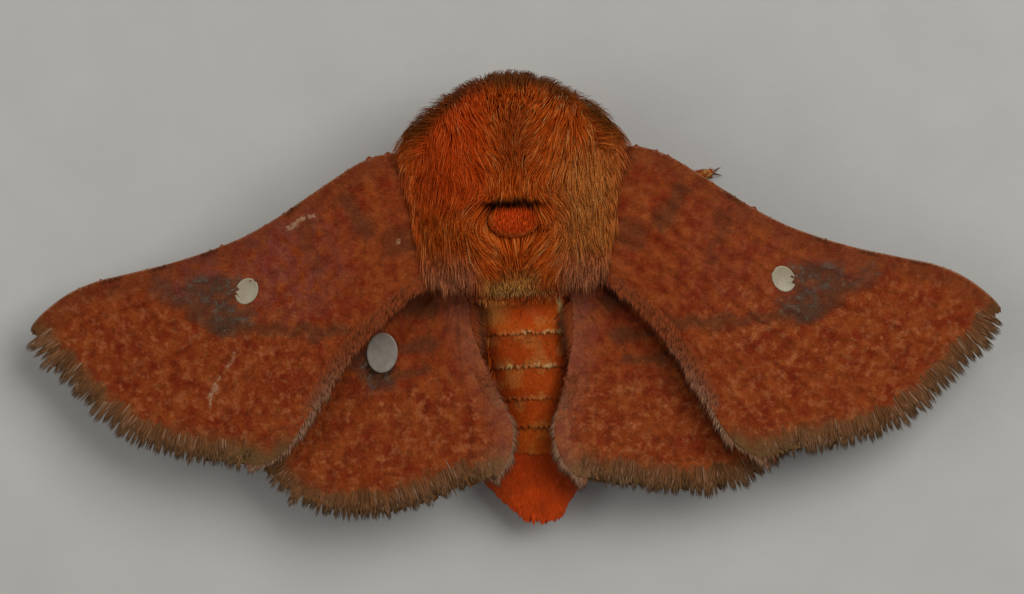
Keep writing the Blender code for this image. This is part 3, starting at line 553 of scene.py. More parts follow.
def wing_plan(wing, u, v):
    """The sheet spanned by four edges: ruled both ways, less the sheet spanned by the corners alone."""
    costa, margin, dorsum = wing["costa"], wing["margin"], wing["dorsum"]
    u, v = np.broadcast_arrays(u, v)
    base = costa[0] + v[..., None] * (dorsum[0] - costa[0])
    du, dv = u[..., None], v[..., None]
    ruled = (1 - dv) * on_curve(costa, u) + dv * on_curve(dorsum, u) + (1 - du) * base + du * on_curve(margin, v)
    corners = (1 - du) * ((1 - dv) * costa[0] + dv * dorsum[0]) + du * ((1 - dv) * margin[0] + dv * margin[-1])
    return ruled - corners


def set_in_place(wing, plan):
    """Plan points of the right wing mirrored to their side and turned about the hinge."""
    side, sweep = wing["side"], wing["sweep"] * wing["side"]
    x = side * (plan[..., 0] - wing["hinge"][0])
    y = plan[..., 1] - wing["hinge"][1]
    return np.stack([x * np.cos(sweep) - y * np.sin(sweep) + side * wing["hinge"][0],
                     x * np.sin(sweep) + y * np.cos(sweep) + wing["hinge"][1]], -1)


def roof(x, y):
    """The height of the wings' roof: a fall outwards that grows, and an even fall backwards."""
    out = np.abs(x) - ROOF_HINGE[0]
    return ROOF_HEIGHT - ROOF_FALL_OUT * out - ROOF_DROOP * out * np.abs(out) - ROOF_FALL_BACK * (ROOF_HINGE[1] - y)


def vein_relief(wing, u, v):
    """Bell-shaped ridges along lines of equal v, fading at the base and the margin, with shallow troughs between."""
    breadth = 1.5 + 4.0 * u
    height = np.zeros(np.broadcast(u, v).shape)
    for line in wing["veins"]:
        height = np.maximum(height, np.exp(-((v - line) * breadth / VEIN_HALF_WIDTH)**2))
    return VEIN_HEIGHT * height * soft_step(0.02, 0.15, u) * (1 - soft_step(0.85, 1.0, u))


def wing_surface(wing, u, v):
    """The wing's upper skin in space: roof height at the plan point, under the scales, with veins and slight waves."""
    plan = wing_plan(wing, u, v)
    placed = set_in_place(wing, plan)
    waves = 0.03 * smooth_noise(plan, 1.3, 5) * soft_step(0.05, 0.3, u)
    z = roof(placed[..., 0], placed[..., 1]) - wing["drop"] - SCALE_DEPTH + vein_relief(wing, u, v) + waves
    return np.concatenate([placed, z[..., None]], -1)


def in_window(wing, plan, grow=0.0):
    """How far inside the window's oval a plan point is: below 1 inside, above 1 outside."""
    x, y, half_x, half_y, tilt = wing["window"]
    dx, dy = plan[..., 0] - x, plan[..., 1] - y
    a = dx * np.cos(tilt) + dy * np.sin(tilt)
    b = dy * np.cos(tilt) - dx * np.sin(tilt)
    return np.hypot(a / (half_x + grow), b / (half_y + grow))


def wing_marks(wing, plan):
    """The wing's markings at plan points of the right wing, each from 0 to 1, drawn from discs, strokes and edges."""
    x, y = plan[..., 0], plan[..., 1]
    shake = np.stack([smooth_noise(plan, 0.35, 21), smooth_noise(plan, 0.35, 22)], -1)
    loose = plan + 0.16 * shake
    grit = smooth_noise(plan, 0.12, 23)
    window = in_window(wing, plan)
    marks = {}
    if wing["fore"]:
        rim = edge_distance(plan, wing["margin"])
        rim = np.minimum(rim, edge_distance(plan, wing["dorsum"][-30:]) + 0.45)
        costa = edge_distance(plan, wing["costa"])
        soot = np.maximum.reduce([blob(loose, (8.25, 0.35), 0.55), blob(loose, (8.8, 0.35), 0.5),
                                  blob(loose, (8.15, -0.25), 0.5), blob(loose, (9.4, 0.3), 0.3) * 0.7,
                                  blob(loose, (7.75, -0.3), 0.4) * 0.8, blob(loose, (9.9, 0.45), 0.35) * 0.5])
        dusk = np.maximum.reduce([stroke(loose, ((9.6, 0.1), (8.2, -0.6), (7.0, -0.7), (5.6, -0.75), (4.2, -0.7)), 0.2),
                                  stroke(loose, ((4.7, 2.9), (4.1, 2.1)), 0.3),
                                  stroke(loose, ((5.9, 2.3), (5.4, 1.0)), 0.14) * 0.7,
                                  blob(loose, (3.2, 1.75), 0.45) * 0.8, blob(loose, (10.1, 0.6), 0.4) * 0.6,
                                  blob(loose, (11.3, 0.5), 0.3) * 0.6])
        dashes = np.maximum.reduce([blob(plan, centre, 0.3) for centre in ((6.2, 2.75), (8.6, 1.55), (10.0, 1.15),
                                                                         (11.4, 0.82))])
        marks["mottle"] = soft_step(4.2, 6.5, x) * soft_step(1.2, -0.6, y) * 0.7 + 0.3
        marks["wine"] = np.maximum(blob(loose, (6.3, 1.2), 1.6), blob(loose, (9.0, 0.8), 0.9))
        marks["wine"] = marks["wine"] * (0.75 if wing["side"] < 0 else 0.25)
        marks["net"] = 0.6 * np.ones_like(x)
        crease = stroke(loose, ((7.95, -1.35), (8.3, -2.0), (8.75, -2.7)), 0.06) * soft_step(-0.7, 0.3, grit)
        flecks = np.maximum(stroke(loose, ((5.7, 2.35), (6.3, 2.3)), 0.04), blob(plan, (3.2, 1.75), 0.06))
        left_only = 0.62 * np.maximum(crease, flecks) * (wing["side"] < 0)
        marks["pale"] = np.maximum(left_only, 0.5 * (1 - soft_step(0.02, 0.06, costa)))
        marks["black"] = np.clip(dashes * (1 - soft_step(0.05, 0.2, costa)) * 0.6, 0, 1)
        dusk = np.maximum(dusk, 0.5 * soft_step(0.8, 0.2, costa))
        marks["grey"] = soot * soft_step(0.1, 0.8, grit) * 0.5
    else:
        rim = edge_distance(plan, wing["margin"])
        inner = edge_distance(plan, wing["dorsum"])
        below = (wing["window"][0] + 0.2, wing["window"][1] - 0.65)
        beside = (wing["window"][0] + 0.45, wing["window"][1] - 0.1)
        soot = np.maximum(blob(loose, below, 0.42) * 0.95, blob(loose, beside, 0.4) * 0.85)
        dusk = np.maximum.reduce([stroke(loose, ((4.2, -0.9), (3.4, -1.15), (2.6, -1.15)), 0.2),
                                  stroke(loose, ((3.3, 0.0), (2.4, -0.1)), 0.2), stroke(loose, ((2.9, -1.9), (3.9, -1.9)), 0.15)])
        marks["mottle"] = soft_step(-1.6, -2.8, y) * 0.8 + 0.2
        marks["wine"] = 0.4 * soft_step(-1.0, 0.6, y) + 0.3 * soft_step(1.2, 0.3, inner)
        marks["net"] = 0.7 * np.ones_like(x)
        marks["pale"] = 0.1 * soft_step(0.9, 0.1, inner)
        marks["black"] = (1 - soft_step(1.0, 1.35, window)) * soft_step(0.1, -0.2, (x - wing["window"][0]) * -0.5
                                                                       + (y - wing["window"][1]))
        marks["grey"] = soot * soft_step(0.2, 0.8, grit) * 0.4
    marks["soot"] = np.clip(soot * (0.75 + 0.25 * grit), 0, 1)
    marks["dusk"] = 0.6 * dusk
    marks["olive"] = (0.95 if wing["fore"] else 0.75) * soft_step(1.15, 0.35, rim + 0.12 * shake[..., 0])
    return marks


def build_membrane(wing, finish):
    """A wing's skin: upper and lower sheets of one grid, closed round the edge, without faces in the window."""
    rows, columns = 96, 84
    u, v = np.meshgrid(np.linspace(0, 1, rows), np.linspace(0, 1, columns), indexing="ij")
    inset = 1 - FRINGE / 12 if wing["fore"] else 1 - FRINGE / 7
    u = u * inset
    top = wing_surface(wing, u, v)
    edge = np.minimum(np.minimum(u / inset, 1 - u / inset) * 12, np.minimum(v, 1 - v) * 12)
    thick = MEMBRANE * (0.25 + 0.75 * np.clip(edge, 0, 1))
    bottom = top - np.stack([0 * u, 0 * u, thick], -1)
    plan = wing_plan(wing, u, v)
    quads = grid_faces(rows, columns)
    centre = plan.reshape(-1, 2)[quads].mean(1)
    quads = quads[in_window(wing, centre, -0.02) > 1]
    flipped = quads[:, ::-1]
    up, down = (quads, flipped) if wing["side"] < 0 else (flipped, quads)
    count = rows * columns
    faces = np.vstack([up, down + count, rim_faces(up, count)])
    marks = wing_marks(wing, plan)
    attributes = {key: np.tile(values.ravel(), 2) for key, values in marks.items()}
    return add_piece(piece_name(wing, "skin"), np.vstack([top.reshape(-1, 3), bottom.reshape(-1, 3)]), faces, finish,
                     attributes)


def rim_faces(faces, offset):
    """Quads that join each open edge of a sheet to its copy, whose points follow by that offset."""
    start, end = faces.ravel(), np.roll(faces, -1, axis=1).ravel()
    size = int(max(start.max(), end.max())) + 1
    forward, backward = start * size + end, end * size + start
    open_edge = ~np.isin(forward, backward)
    a, b = start[open_edge], end[open_edge]
    return np.stack([b, a, a + offset, b + offset], 1)


def piece_name(wing, word):
    return f"{'forewing' if wing['fore'] else 'hindwing'}_{wing['word']}_{word}"


def wing_roots(wing, along_gap, across_gap, draw, to_edge=1.0):
    """Roots spread evenly over a wing: rows along u, each with as many places as its length needs, thinned by area."""
    length = 12.5 if wing["fore"] else 7.5
    rows = int(length / along_gap)
    u = (np.arange(rows) + 0.5) / rows * to_edge
    probe = wing_plan(wing, u[:, None], np.linspace(0, 1, 30)[None])
    across = np.linalg.norm(np.diff(probe, axis=1), axis=2).sum(1)
    counts = np.maximum((across / across_gap).astype(int), 2)
    row = np.repeat(np.arange(rows), counts)
    start = np.repeat(np.cumsum(counts) - counts, counts)
    v = (np.arange(len(row)) - start + 0.5 + draw.uniform(-0.4, 0.4, len(row)) + 0.5 * (row % 2)) / counts[row]
    u = u[row] + draw.uniform(-0.4, 0.4, len(row)) / rows
    v = np.clip(v, 0.01, 0.99)
    step = np.linalg.norm(wing_plan(wing, u + 0.01, v) - wing_plan(wing, u - 0.01, v), axis=1) / 0.02
    kept = draw.uniform(0, 1, len(u)) < step / length * 1.15
    return u[kept], v[kept]


def surface_frame(wing, u, v):
    """Place, direction towards the margin, and upward normal of the wing's skin, from small differences."""
    here = wing_surface(wing, u, v)
    along = unit(wing_surface(wing, np.minimum(u + 0.006, 1), v) - wing_surface(wing, np.maximum(u - 0.006, 0), v))
    across = unit(wing_surface(wing, u, np.minimum(v + 0.006, 1)) - wing_surface(wing, u, np.maximum(v - 0.006, 0)))
    normal = unit(np.cross(along, across))
    normal *= np.sign(normal[..., 2:])
    return here, along, normal


def build_wing_scales(wing, finish):
    """Overlapping scales over the upper side, and larger, plainer ones below."""
    draw = np.random.default_rng(SEED + 7 * (wing["side"] > 0) + 3 * wing["fore"])
    for word, gaps, size, below in (("scales_above", (0.071, 0.063), (0.17, 0.092), False),
                                    ("scales_below", (0.14, 0.13), (0.28, 0.17), True)):
        u, v = wing_roots(wing, *gaps, draw, 0.955)
        plan = wing_plan(wing, u, v)
        root, along, normal = surface_frame(wing, u, v)
        length = size[0] * draw.uniform(0.8, 1.25, len(u))
        ahead = wing_plan(wing, np.minimum(u + length / (12.5 if wing["fore"] else 7.5), 1), v)
        kept = (in_window(wing, plan) > 1.05) & (in_window(wing, ahead) > 1.05)
        u, v, plan, root, along, normal, length = (part[kept] for part in (u, v, plan, root, along, normal, length))
        across = np.cross(normal, along)
        along = unit(along + across * draw.normal(0, 0.1, len(u))[:, None])
        if below:
            root = root - normal * (MEMBRANE - 0.01)
            normal = -normal
        marks = {key: values * (0.6 if below and key != "olive" else 1.0) for key, values in wing_marks(wing, plan).items()}
        tint = np.clip(draw.normal(0, 0.4, len(u)) + 0.4 * smooth_noise(plan, 0.16, 31), -1, 1)
        width = size[1] * draw.uniform(0.85, 1.15, len(u))
        lift = draw.uniform(0.008, 0.024, len(u))
        half = np.stack([0.01 + 0.97 * u, 0.01 + 0.97 * v], 1)
        scales(piece_name(wing, word), root - normal * 0.006, along, normal, length, width, lift, finish, half,
               {**marks, "tint": tint})


def margin_roots(wing, draw, per_mm, edge):
    """Roots along an edge of the wing, on the membrane's rim: shares along the edge, plan points and directions out."""
    curve = wing[edge]
    length = np.linalg.norm(np.diff(curve, axis=0), axis=1).sum()
    share = np.sort(draw.uniform(0, 1, int(length * per_mm)))
    step = 0.01
    run = unit(on_curve(curve, share + step) - on_curve(curve, share - step))
    out = np.stack([-run[:, 1], run[:, 0]], -1)
    middle = wing_plan(wing, np.full(1, 0.5), np.full(1, 0.5))[0]
    out *= np.sign(((on_curve(curve, share) - middle) * out).sum(1, keepdims=True))
    return share, on_curve(curve, share), out


def lay_on_roof(wing, plan, lift):
    """Plan points of the right wing in space, that far above the wing's skin."""
    placed = set_in_place(wing, plan)
    z = roof(placed[..., 0], placed[..., 1]) - wing["drop"] - SCALE_DEPTH + lift
    return np.concatenate([placed, z[..., None]], -1)


def clumped(share, size, draw, pull):
    """Shares along an edge drawn towards the middle of clumps of uneven breadth.

    Also gives each clump's own random number, and how far from its clump's middle each share is, from 0 to 1.
    """
    count = int(1 / size)
    bounds = np.concatenate([[0], np.sort((np.arange(1, count) + draw.uniform(-0.45, 0.45, count - 1)) / count), [1]])
    clump = np.clip(np.searchsorted(bounds, share) - 1, 0, count - 1)
    middle = (bounds[clump] + bounds[clump + 1]) / 2
    off = np.abs(share - middle) / (bounds[clump + 1] - bounds[clump]) * 2
    return share + (middle - share) * pull, draw.normal(0, 1, count)[clump], off


def build_fringe(wing, finish):
    """Narrow scales along the margin in uneven pointed clumps, and soft hair leaning back along the trailing edge."""
    draw = np.random.default_rng(SEED + 40 + 7 * (wing["side"] > 0) + 3 * wing["fore"])
    t = np.linspace(0, 1, 3)[None, :, None]
    share, plan, out = margin_roots(wing, draw, 300, "margin")
    length = np.linalg.norm(np.diff(wing["margin"], axis=0), axis=1).sum()
    drawn, own, off = clumped(share, 0.24 / length, draw, 0.25)
    inner = draw.uniform(0, 1, len(share))
    tip = -0.32 * inner**1.5 + 0.055 * own - 0.08 * off + 0.04 + draw.normal(0, 0.03, len(share))
    root = tip - draw.uniform(0.4, 0.62, len(share))
    end = on_curve(wing["margin"], drawn) + out * tip[:, None] + np.array((0.0, -0.05)) * (1 - inner[:, None])
    line = (plan + out * root[:, None])[:, None] * (1 - t) + end[:, None] * t
    lift = 0.04 * np.sin(np.pi * 0.75 * t[..., 0]) - 0.01 * (1 - t[..., 0]) - 0.02 * (1 - inner[:, None])
    margin = lay_on_roof(wing, line, lift)
    tint = np.clip(0.4 * own + draw.uniform(-0.5, 0.5, len(share)), -1, 1)
    light_tips = 0.5 * soft_step(0.35, 0.1, share) * (wing["side"] < 0) * (inner < 0.5)
    pale = np.where(draw.uniform(0, 1, len(share)) < 0.04 + light_tips, 0.6, 0.0)
    uv = np.stack([0.01 + 0.9 * share, 0.05 + 0.3 * inner], 1)
    edge_share, edge_plan, edge_out = margin_roots(wing, draw, 280, "dorsum")
    kept = edge_share > (0.06 if wing["fore"] else 0.02)
    edge_share, edge_plan, edge_out = edge_share[kept], edge_plan[kept], edge_out[kept]
    count = len(edge_share)
    run = np.stack([edge_out[:, 1], -edge_out[:, 0]], -1)
    run *= np.sign(-run[:, 1:])
    towards_end = soft_step(0.5, 0.8, edge_share)
    lean = (0.9 if wing["fore"] else 0.35 + 0.4 * towards_end) + draw.normal(0, 0.12, count)
    heading = unit(run + lean[:, None] * edge_out)
    inside = (0.45 if wing["fore"] else 0.3) * draw.uniform(0, 1, count)
    drawn, own_edge, off = clumped(edge_share, 0.045, draw, 0.6)
    base = 0.0 if wing["fore"] else 0.4 * soft_step(0.36, 0.05, edge_share)
    reach = draw.uniform(0.3, 0.46, count) + 0.05 * own_edge + base + (0.0 if wing["fore"] else 0.12) * towards_end
    start = edge_plan - edge_out * (inside + (0.0 if wing["fore"] else 0.1))[:, None]
    end = start + heading * reach[:, None] + edge_out * np.reshape(base, (-1, 1)) + 0.4 * (on_curve(wing["dorsum"], drawn) - edge_plan)
    line = start[:, None] * (1 - t) + end[:, None] * t
    lift = 0.012 * np.sin(np.pi * 0.75 * t[..., 0]) - 0.012 * (1 - t[..., 0]) - 0.2 * np.reshape(base, (-1, 1)) * t[..., 0]
    dorsal = lay_on_roof(wing, line, lift)
    spine = np.concatenate([margin, dorsal])
    normal = np.broadcast_to(np.array((0.0, 0.0, 1.0)), spine.shape)
    near = soft_step(0.5, 0.0, inside) * soft_step(0.35, 0.8, edge_share)
    marks = {"tint": np.concatenate([tint, draw.uniform(-0.6, 0.8, count)]),
             "rust": np.concatenate([0.05 + 0.3 * inner, 0.95 - 0.6 * near]),
             "pale": np.concatenate([pale, 0.2 * near + 0.3 * near * (draw.uniform(0, 1, count) < 0.2)])}
    edge_uv = np.stack([0.01 + 0.9 * edge_share, 0.5 + 0.4 * inside], 1)
    width = draw.uniform(0.028, 0.045, len(spine))
    hair(piece_name(wing, "fringe"), spine, normal, width, finish, np.vstack([uv, edge_uv]), marks, flat=0.3)


def build_window(wing, finish):
    """The window's film: an oval sheet with a thickness, from rings about its middle, let into the hole."""
    x, y, half_x, half_y, tilt = wing["window"]
    share = np.linspace(0.02, 1.08, 12)[:, None]
    turn = np.linspace(0, 2 * np.pi, 40, endpoint=False)[None]
    a, b = share * half_x * np.cos(turn), share * half_y * np.sin(turn)
    plan = np.stack([x + a * np.cos(tilt) - b * np.sin(tilt), y + a * np.sin(tilt) + b * np.cos(tilt)], -1)
    sag = 0.04 + 0.05 * (np.minimum(share, 1)**2 - 1) * np.ones_like(turn)
    top = lay_on_roof(wing, plan, sag)
    bottom = lay_on_roof(wing, plan, sag - 0.03)
    rings = np.concatenate([top, bottom[::-1]])
    points, faces = closed_rings(rings)
    if wing["side"] > 0:
        faces = faces[:, ::-1]
    return add_piece(piece_name(wing, "window"), points, faces, finish)


# Body

def abdomen_x(y):
    return ABDOMEN_X + ABDOMEN_BEND * np.maximum(0.0, 0.1 - y)


def abdomen_size(y):
    """Half-width, half-height and middle height at y, from the stations, stepping up to each ring's rear edge."""
    stations = np.array(ABDOMEN)
    half_width, half_height, z = (np.interp(-y, -stations[:, 0], stations[:, k]) for k in (1, 2, 3))
    edges = np.array((1.2, *RING_EDGES, -5.2))
    ring = np.clip(np.searchsorted(-edges, -y, side="left") - 1, 0, len(edges) - 2)
    share = np.clip((edges[ring] - y) / (edges[ring] - edges[ring + 1]), 0, 1)
    step = RING_STEP * (soft_step(0, 0.85, share) - soft_step(0.9, 1.0, share)) * soft_step(-4.6, -4.3, y)
    return half_width + step, half_height + step, z


def abdomen_point(y, turn):
    """An ellipse across the abdomen at y: turn 0 is on top, positive towards the right."""
    half_width, half_height, z = abdomen_size(y)
    return np.stack([abdomen_x(y) + half_width * np.sin(turn), y, z + half_height * np.cos(turn)], -1)


def leg_path(place, word, side):
    path = np.array(LEG_PATHS[place])
    path[:, 0] *= side
    path[-1, :3] += FOOT_SHIFT.get(f"{place}_{word}", (0, 0, 0))
    return path


def limb_curve(path, count):
    """A limb's middle line and radius: straight between its joints, rounded at each, and thickest between them."""
    along = np.concatenate([[0], np.cumsum(np.linalg.norm(np.diff(path[:, :3], axis=0), axis=1))])
    wanted = np.linspace(0, along[-1], count)
    line = np.stack([np.interp(wanted, along, path[:, k]) for k in range(4)], 1)
    kernel = np.array((1, 2, 3, 2, 1)) / 9
    padded = np.vstack([line[:1]] * 2 + [line] + [line[-1:]] * 2)
    rounded = np.stack([np.convolve(padded[:, k], kernel, "valid") for k in range(4)], 1)
    rounded[0], rounded[-1] = line[0], line[-1]
    return rounded[:, :3], rounded[:, 3]


def foot_rings(radius, count, joints=5):
    """Tarsal segments: the last third of a leg's radius swells towards the end of each of five segments."""
    share = np.linspace(0, 1, count)
    foot = np.clip((share - 0.78) / 0.22, 0, 1)
    return radius * (1 + 0.16 * (foot > 0) * ((foot * joints) % 1.0 - 0.5))


def body_marks(points):
    """Markings of skin and coat by place: crown, patch, slit, rear of the thorax, ring edges and flanks, 0 to 1. The
    slit's black is painted shade, the furrow's darkening is partly painted shade, and the right side's tan is partly
    painted light.
    """
    x, y, z = points[..., 0], points[..., 1], points[..., 2]
    loose = 0.12 * smooth_noise(points, 0.3, 41)
    side = np.abs(x - 0.05)
    on_top = soft_step(3.4, 4.4, z)
    marks = {}
    front = np.hypot(x / 3.5, (y - 2.9) / 3.6)
    marks["olive"] = 0.9 * soft_step(0.79, 0.93, front + loose * 0.4) * soft_step(3.9, 4.9, y)
    # Partly painted shade along the hood's middle furrow, partly browner hair there; it is carried in the flank mark.
    furrow = 0.5 * np.exp(-((x - 0.1) / 0.5)**2) * soft_step(3.2, 4.0, y) * soft_step(5.9, 5.2, y) * on_top
    patch = 1 - soft_step(0.8, 1.1, (np.abs(x / 0.64)**3 + np.abs((y - 2.22) / 0.42)**3)**(1 / 3))
    rosy = 0.6 * soft_step(-0.3, -1.2, x) * soft_step(1.8, 3.2, y) * soft_step(-3.3, -2.4, x)
    first_ring = 0.8 * np.exp(-((x - 0.35) / 0.6)**2 - ((y + 0.4) / 0.35)**2)
    marks["red"] = np.maximum(0.8 * patch, np.maximum(rosy, first_ring)) * soft_step(3.0, 3.5, z)
    # Painted shade: the slit between the long coat and the patch is painted black, standing for the shade in its
    # cavity.
    slit = np.maximum(stroke(points[..., :2], ((-0.72, 2.55), (-0.45, 2.66), (-0.15, 2.64)), 0.12),
                      stroke(points[..., :2], ((-0.02, 2.66), (0.25, 2.7), (0.56, 2.55)), 0.12))
    marks["black"] = slit * on_top
    # Partly painted light: the hood's right side is made paler tan, partly tan hair and partly the sheen of the light
    # from the right.
    marks["tan"] = 0.5 * soft_step(0.7, 1.9, x) * soft_step(4.8, 3.2, y) * soft_step(0.4, 1.6, y) * on_top
    marks["rose"] = 0.7 * soft_step(1.5, 0.4, y) * soft_step(0.9, 1.5, side) * on_top
    rear_line = soft_step(0.75, 0.3, y + 2 * loose) * soft_step(-0.05, 0.15, y) * soft_step(-1.2, -0.7, x)
    ring_left = 0.5 * soft_step(0.0, -0.8, x) * soft_step(-0.85, -0.5, y) * soft_step(0.1, -0.1, y)
    fair = 0.28 * soft_step(0.1, 0.6, smooth_noise(points, 0.3, 44)) * soft_step(0.1, -0.2, y)
    marks["ochre"] = np.maximum.reduce([0.85 * rear_line * soft_step(0.9, 0.1, x), ring_left, fair])
    middle = np.abs(x - abdomen_x(y))
    top = 1 - soft_step(0.75, 1.2, middle)
    cream = np.zeros_like(y)
    speck = np.zeros_like(y)
    for edge, strength, start, end in ((0.12, 0.5, -0.9, 1.4), (-0.92, 1.0, -0.45, 1.6), (-1.88, 0.7, -0.6, 1.05),
                                       (-2.78, 0.12, -0.6, 0.8), (-3.58, 0.05, -0.6, 0.8)):
        band = np.exp(-((y - edge - 0.3 * loose) / 0.045)**2) * soft_step(-0.7, 0.0, smooth_noise(points, 0.16, 45))
        band = band * soft_step(start - 0.15, start + 0.15, x + loose) * soft_step(end + 0.15, end - 0.15, x + loose)
        cream = np.maximum(cream, strength * band * top)
        gap = soft_step(0.15, 0.5, smooth_noise(points, 0.09, 43)) * (x > -0.7)
        speck = np.maximum(speck, min(strength * 1.3, 1.0) * gap * np.exp(-((y - edge + 0.06) / 0.06)**2) * top)
    rear = soft_step(0.3, 0.1, y)
    cream = np.maximum(cream, 0.75 * stroke(points[..., :2], ((1.2, -0.1), (1.28, -0.5), (1.22, -0.9)), 0.08))
    marks["cream"] = cream * rear * soft_step(1.2, 2.0, z)
    marks["black"] = np.maximum(marks["black"], 0.8 * speck * rear * soft_step(1.2, 2.0, z))
    sides = np.maximum(0.85 * soft_step(0.86, 0.98, middle / abdomen_size(y)[0]), 0.25)
    # flank is the abdomen's darker sides and, on the hood, the furrow's partly painted shade.
    marks["flank"] = np.maximum(sides * rear, furrow)
    return marks


def build_skin(finish):
    """One skin over thorax, hood, head, palps, abdomen and legs: their closed forms fused on a fine voxel grid.

    The grid is laid in millimetres, then the points are carried to their place in metres.
    """
    y = np.concatenate([np.linspace(1.6, -4.6, 110), np.linspace(-4.7, -5.7, 12)])
    turn = np.linspace(0, 2 * np.pi, 48, endpoint=False)
    forms = [ellipsoid_rings(*THORAX), ellipsoid_rings(*MANTLE_SKIN), ellipsoid_rings(*HEAD), ellipsoid_rings(*PATCH),
             abdomen_point(*np.meshgrid(y, turn, indexing="ij"))]
    for word, side in SIDES.items():
        for place in LEG_PATHS:
            line, radius = limb_curve(leg_path(place, word, side), 90)
            forms.append(tube_rings(line, foot_rings(radius, 90)))
        line, radius = limb_curve(np.array(PALP_PATH) * (side, 1, 1, 1), 30)
        forms.append(tube_rings(line, radius))
    points, faces, offset = [], [], 0
    for rings in forms:
        form_points, form_faces = closed_rings(rings)
        points.append(form_points)
        faces.append(form_faces + offset)
        offset += len(form_points)
    mesh = bpy.data.meshes.new("forms")
    mesh.from_pydata(np.vstack(points).tolist(), [], np.vstack(faces).tolist())
    forms = bpy.data.objects.new("forms", mesh)
    bpy.context.scene.collection.objects.link(forms)
    fuse = forms.modifiers.new("fuse", "REMESH")
    fuse.mode = "VOXEL"
    fuse.voxel_size = 0.065
    relax = forms.modifiers.new("relax", "SMOOTH")
    relax.factor = 0.5
    relax.iterations = 4
    graph = bpy.context.evaluated_depsgraph_get()
    fused = bpy.data.meshes.new_from_object(forms.evaluated_get(graph))
    bpy.data.objects.remove(forms)
    places = np.empty(len(fused.vertices) * 3)
    fused.vertices.foreach_get("co", places)
    places = places.reshape(-1, 3)
    corners = np.empty(len(fused.loops), np.int32)
    fused.loops.foreach_get("vertex_index", corners)
    skin = add_piece("body_skin", places, corners.reshape(-1, 4), finish, body_marks(places))
    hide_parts("thorax", "head", "abdomen", "tail_tuft", "palp_left", "palp_right",
                *(f"leg_{place}_{word}" for place in LEG_PATHS for word in SIDES))
    return skin


def spread_directions(count, draw):
    """Directions spread evenly over a ball by the golden angle, a little shaken."""
    k = np.arange(count) + 0.5
    height = 1 - 2 * k / count
    turn = k * np.pi * (3 - np.sqrt(5))
    ring = np.sqrt(1 - height**2)
    ball = np.stack([ring * np.sin(turn), height, ring * np.cos(turn)], -1)
    return unit(ball + draw.normal(0, 0.012, ball.shape))


def comb_over(form, directions, flow, length, depth, sections, sink=0.1):
    """Paths of hairs over an ellipsoid: equal steps along the flow laid on its surface, rising to the depth by a sine.

    A place is centre + direction * radii; its normal is direction / radii, made a unit.
    """
    centre, radii = np.array(form[0]), np.array(form[1])
    places, normals = [], []
    for k in range(sections + 1):
        share = k / sections
        normal = unit(directions / radii)
        ground = centre + directions * radii
        lift = -sink + (sink + depth) * np.sin(np.pi / 2 * min(1.0, 1.25 * share))
        places.append(ground + normal * np.reshape(lift, (-1, 1)))
        normals.append(normal)
        heading = flow(ground)
        heading = heading - (heading * normal).sum(1, keepdims=True) * normal
        heading = unit(heading) * np.reshape(length / sections, (-1, 1))
        directions = unit(directions + heading / radii)
    return np.stack(places, 1), np.stack(normals, 1)


def gathered(spine, draw, count, pull):
    """Hairs gathered into locks: each tip is drawn towards the path of the nearest of a few leading hairs."""
    leaders = draw.choice(len(spine), count, replace=False)
    nearest = np.empty(len(spine), int)
    for start in range(0, len(spine), 2000):
        away = spine[start:start + 2000, None, 0] - spine[None, leaders, 0]
        nearest[start:start + 2000] = (away**2).sum(2).argmin(1)
    share = np.linspace(0, 1, spine.shape[1])[None, :, None]**1.5
    goal = spine[leaders][nearest]
    return spine + (goal - spine) * share * pull, nearest


def ball_uv(directions):
    """An unwrap of the form's own surface: its turn about the long axis, and its angle from the front."""
    turn = (np.arctan2(directions[:, 0], directions[:, 2]) / (2 * np.pi) + 0.5) * 0.96 + 0.01
    polar = np.arccos(np.clip(directions[:, 1], -1, 1)) / np.pi * 0.96 + 0.01
    return np.stack([turn, polar], 1)


def hood_flow(plan):
    """The hood's lie in plan: back over the whole, drawn in towards the midline ahead of the slit and behind it."""
    x, y = plan[:, 0], plan[:, 1]
    side = np.abs(x)
    ahead = 0.6 * np.exp(-((side - 0.8) / 0.8)**2) * soft_step(2.9, 3.6, y) * soft_step(6.4, 5.0, y)
    behind = 1.1 * np.exp(-((side - 0.85) / 0.6)**2) * soft_step(2.3, 1.7, y) * soft_step(0.5, 1.2, y)
    past = 0.6 * np.exp(-((side - 0.9) / 0.4)**2) * soft_step(2.0, 2.6, y) * soft_step(3.7, 2.8, y)
    spread = 0.25 * soft_step(1.8, 2.8, side) * soft_step(2.5, 4.5, y)
    inward = (ahead + behind - past) * soft_step(0, 0.6, side) - spread
    stray = 0.3 * smooth_noise(plan, 0.5, 51) + 0.25 * smooth_noise(plan, 0.2, 52)
    return unit(np.stack([-np.sign(x) * inward + stray, -np.ones_like(x)], 1))


def cape_reach(plan):
    """0 at the cape's middle and 1 on its outline: a power mean of the shares of its half-width and half-length."""
    power = CAPE["squareness"]
    x, y = plan[..., 0] - CAPE["centre"][0], plan[..., 1] - CAPE["centre"][1]
    half_length = np.where(y > 0, CAPE["front"], CAPE["rear"])
    return (np.abs(x / CAPE["half_width"])**power + np.abs(y / half_length)**power)**(1 / power)


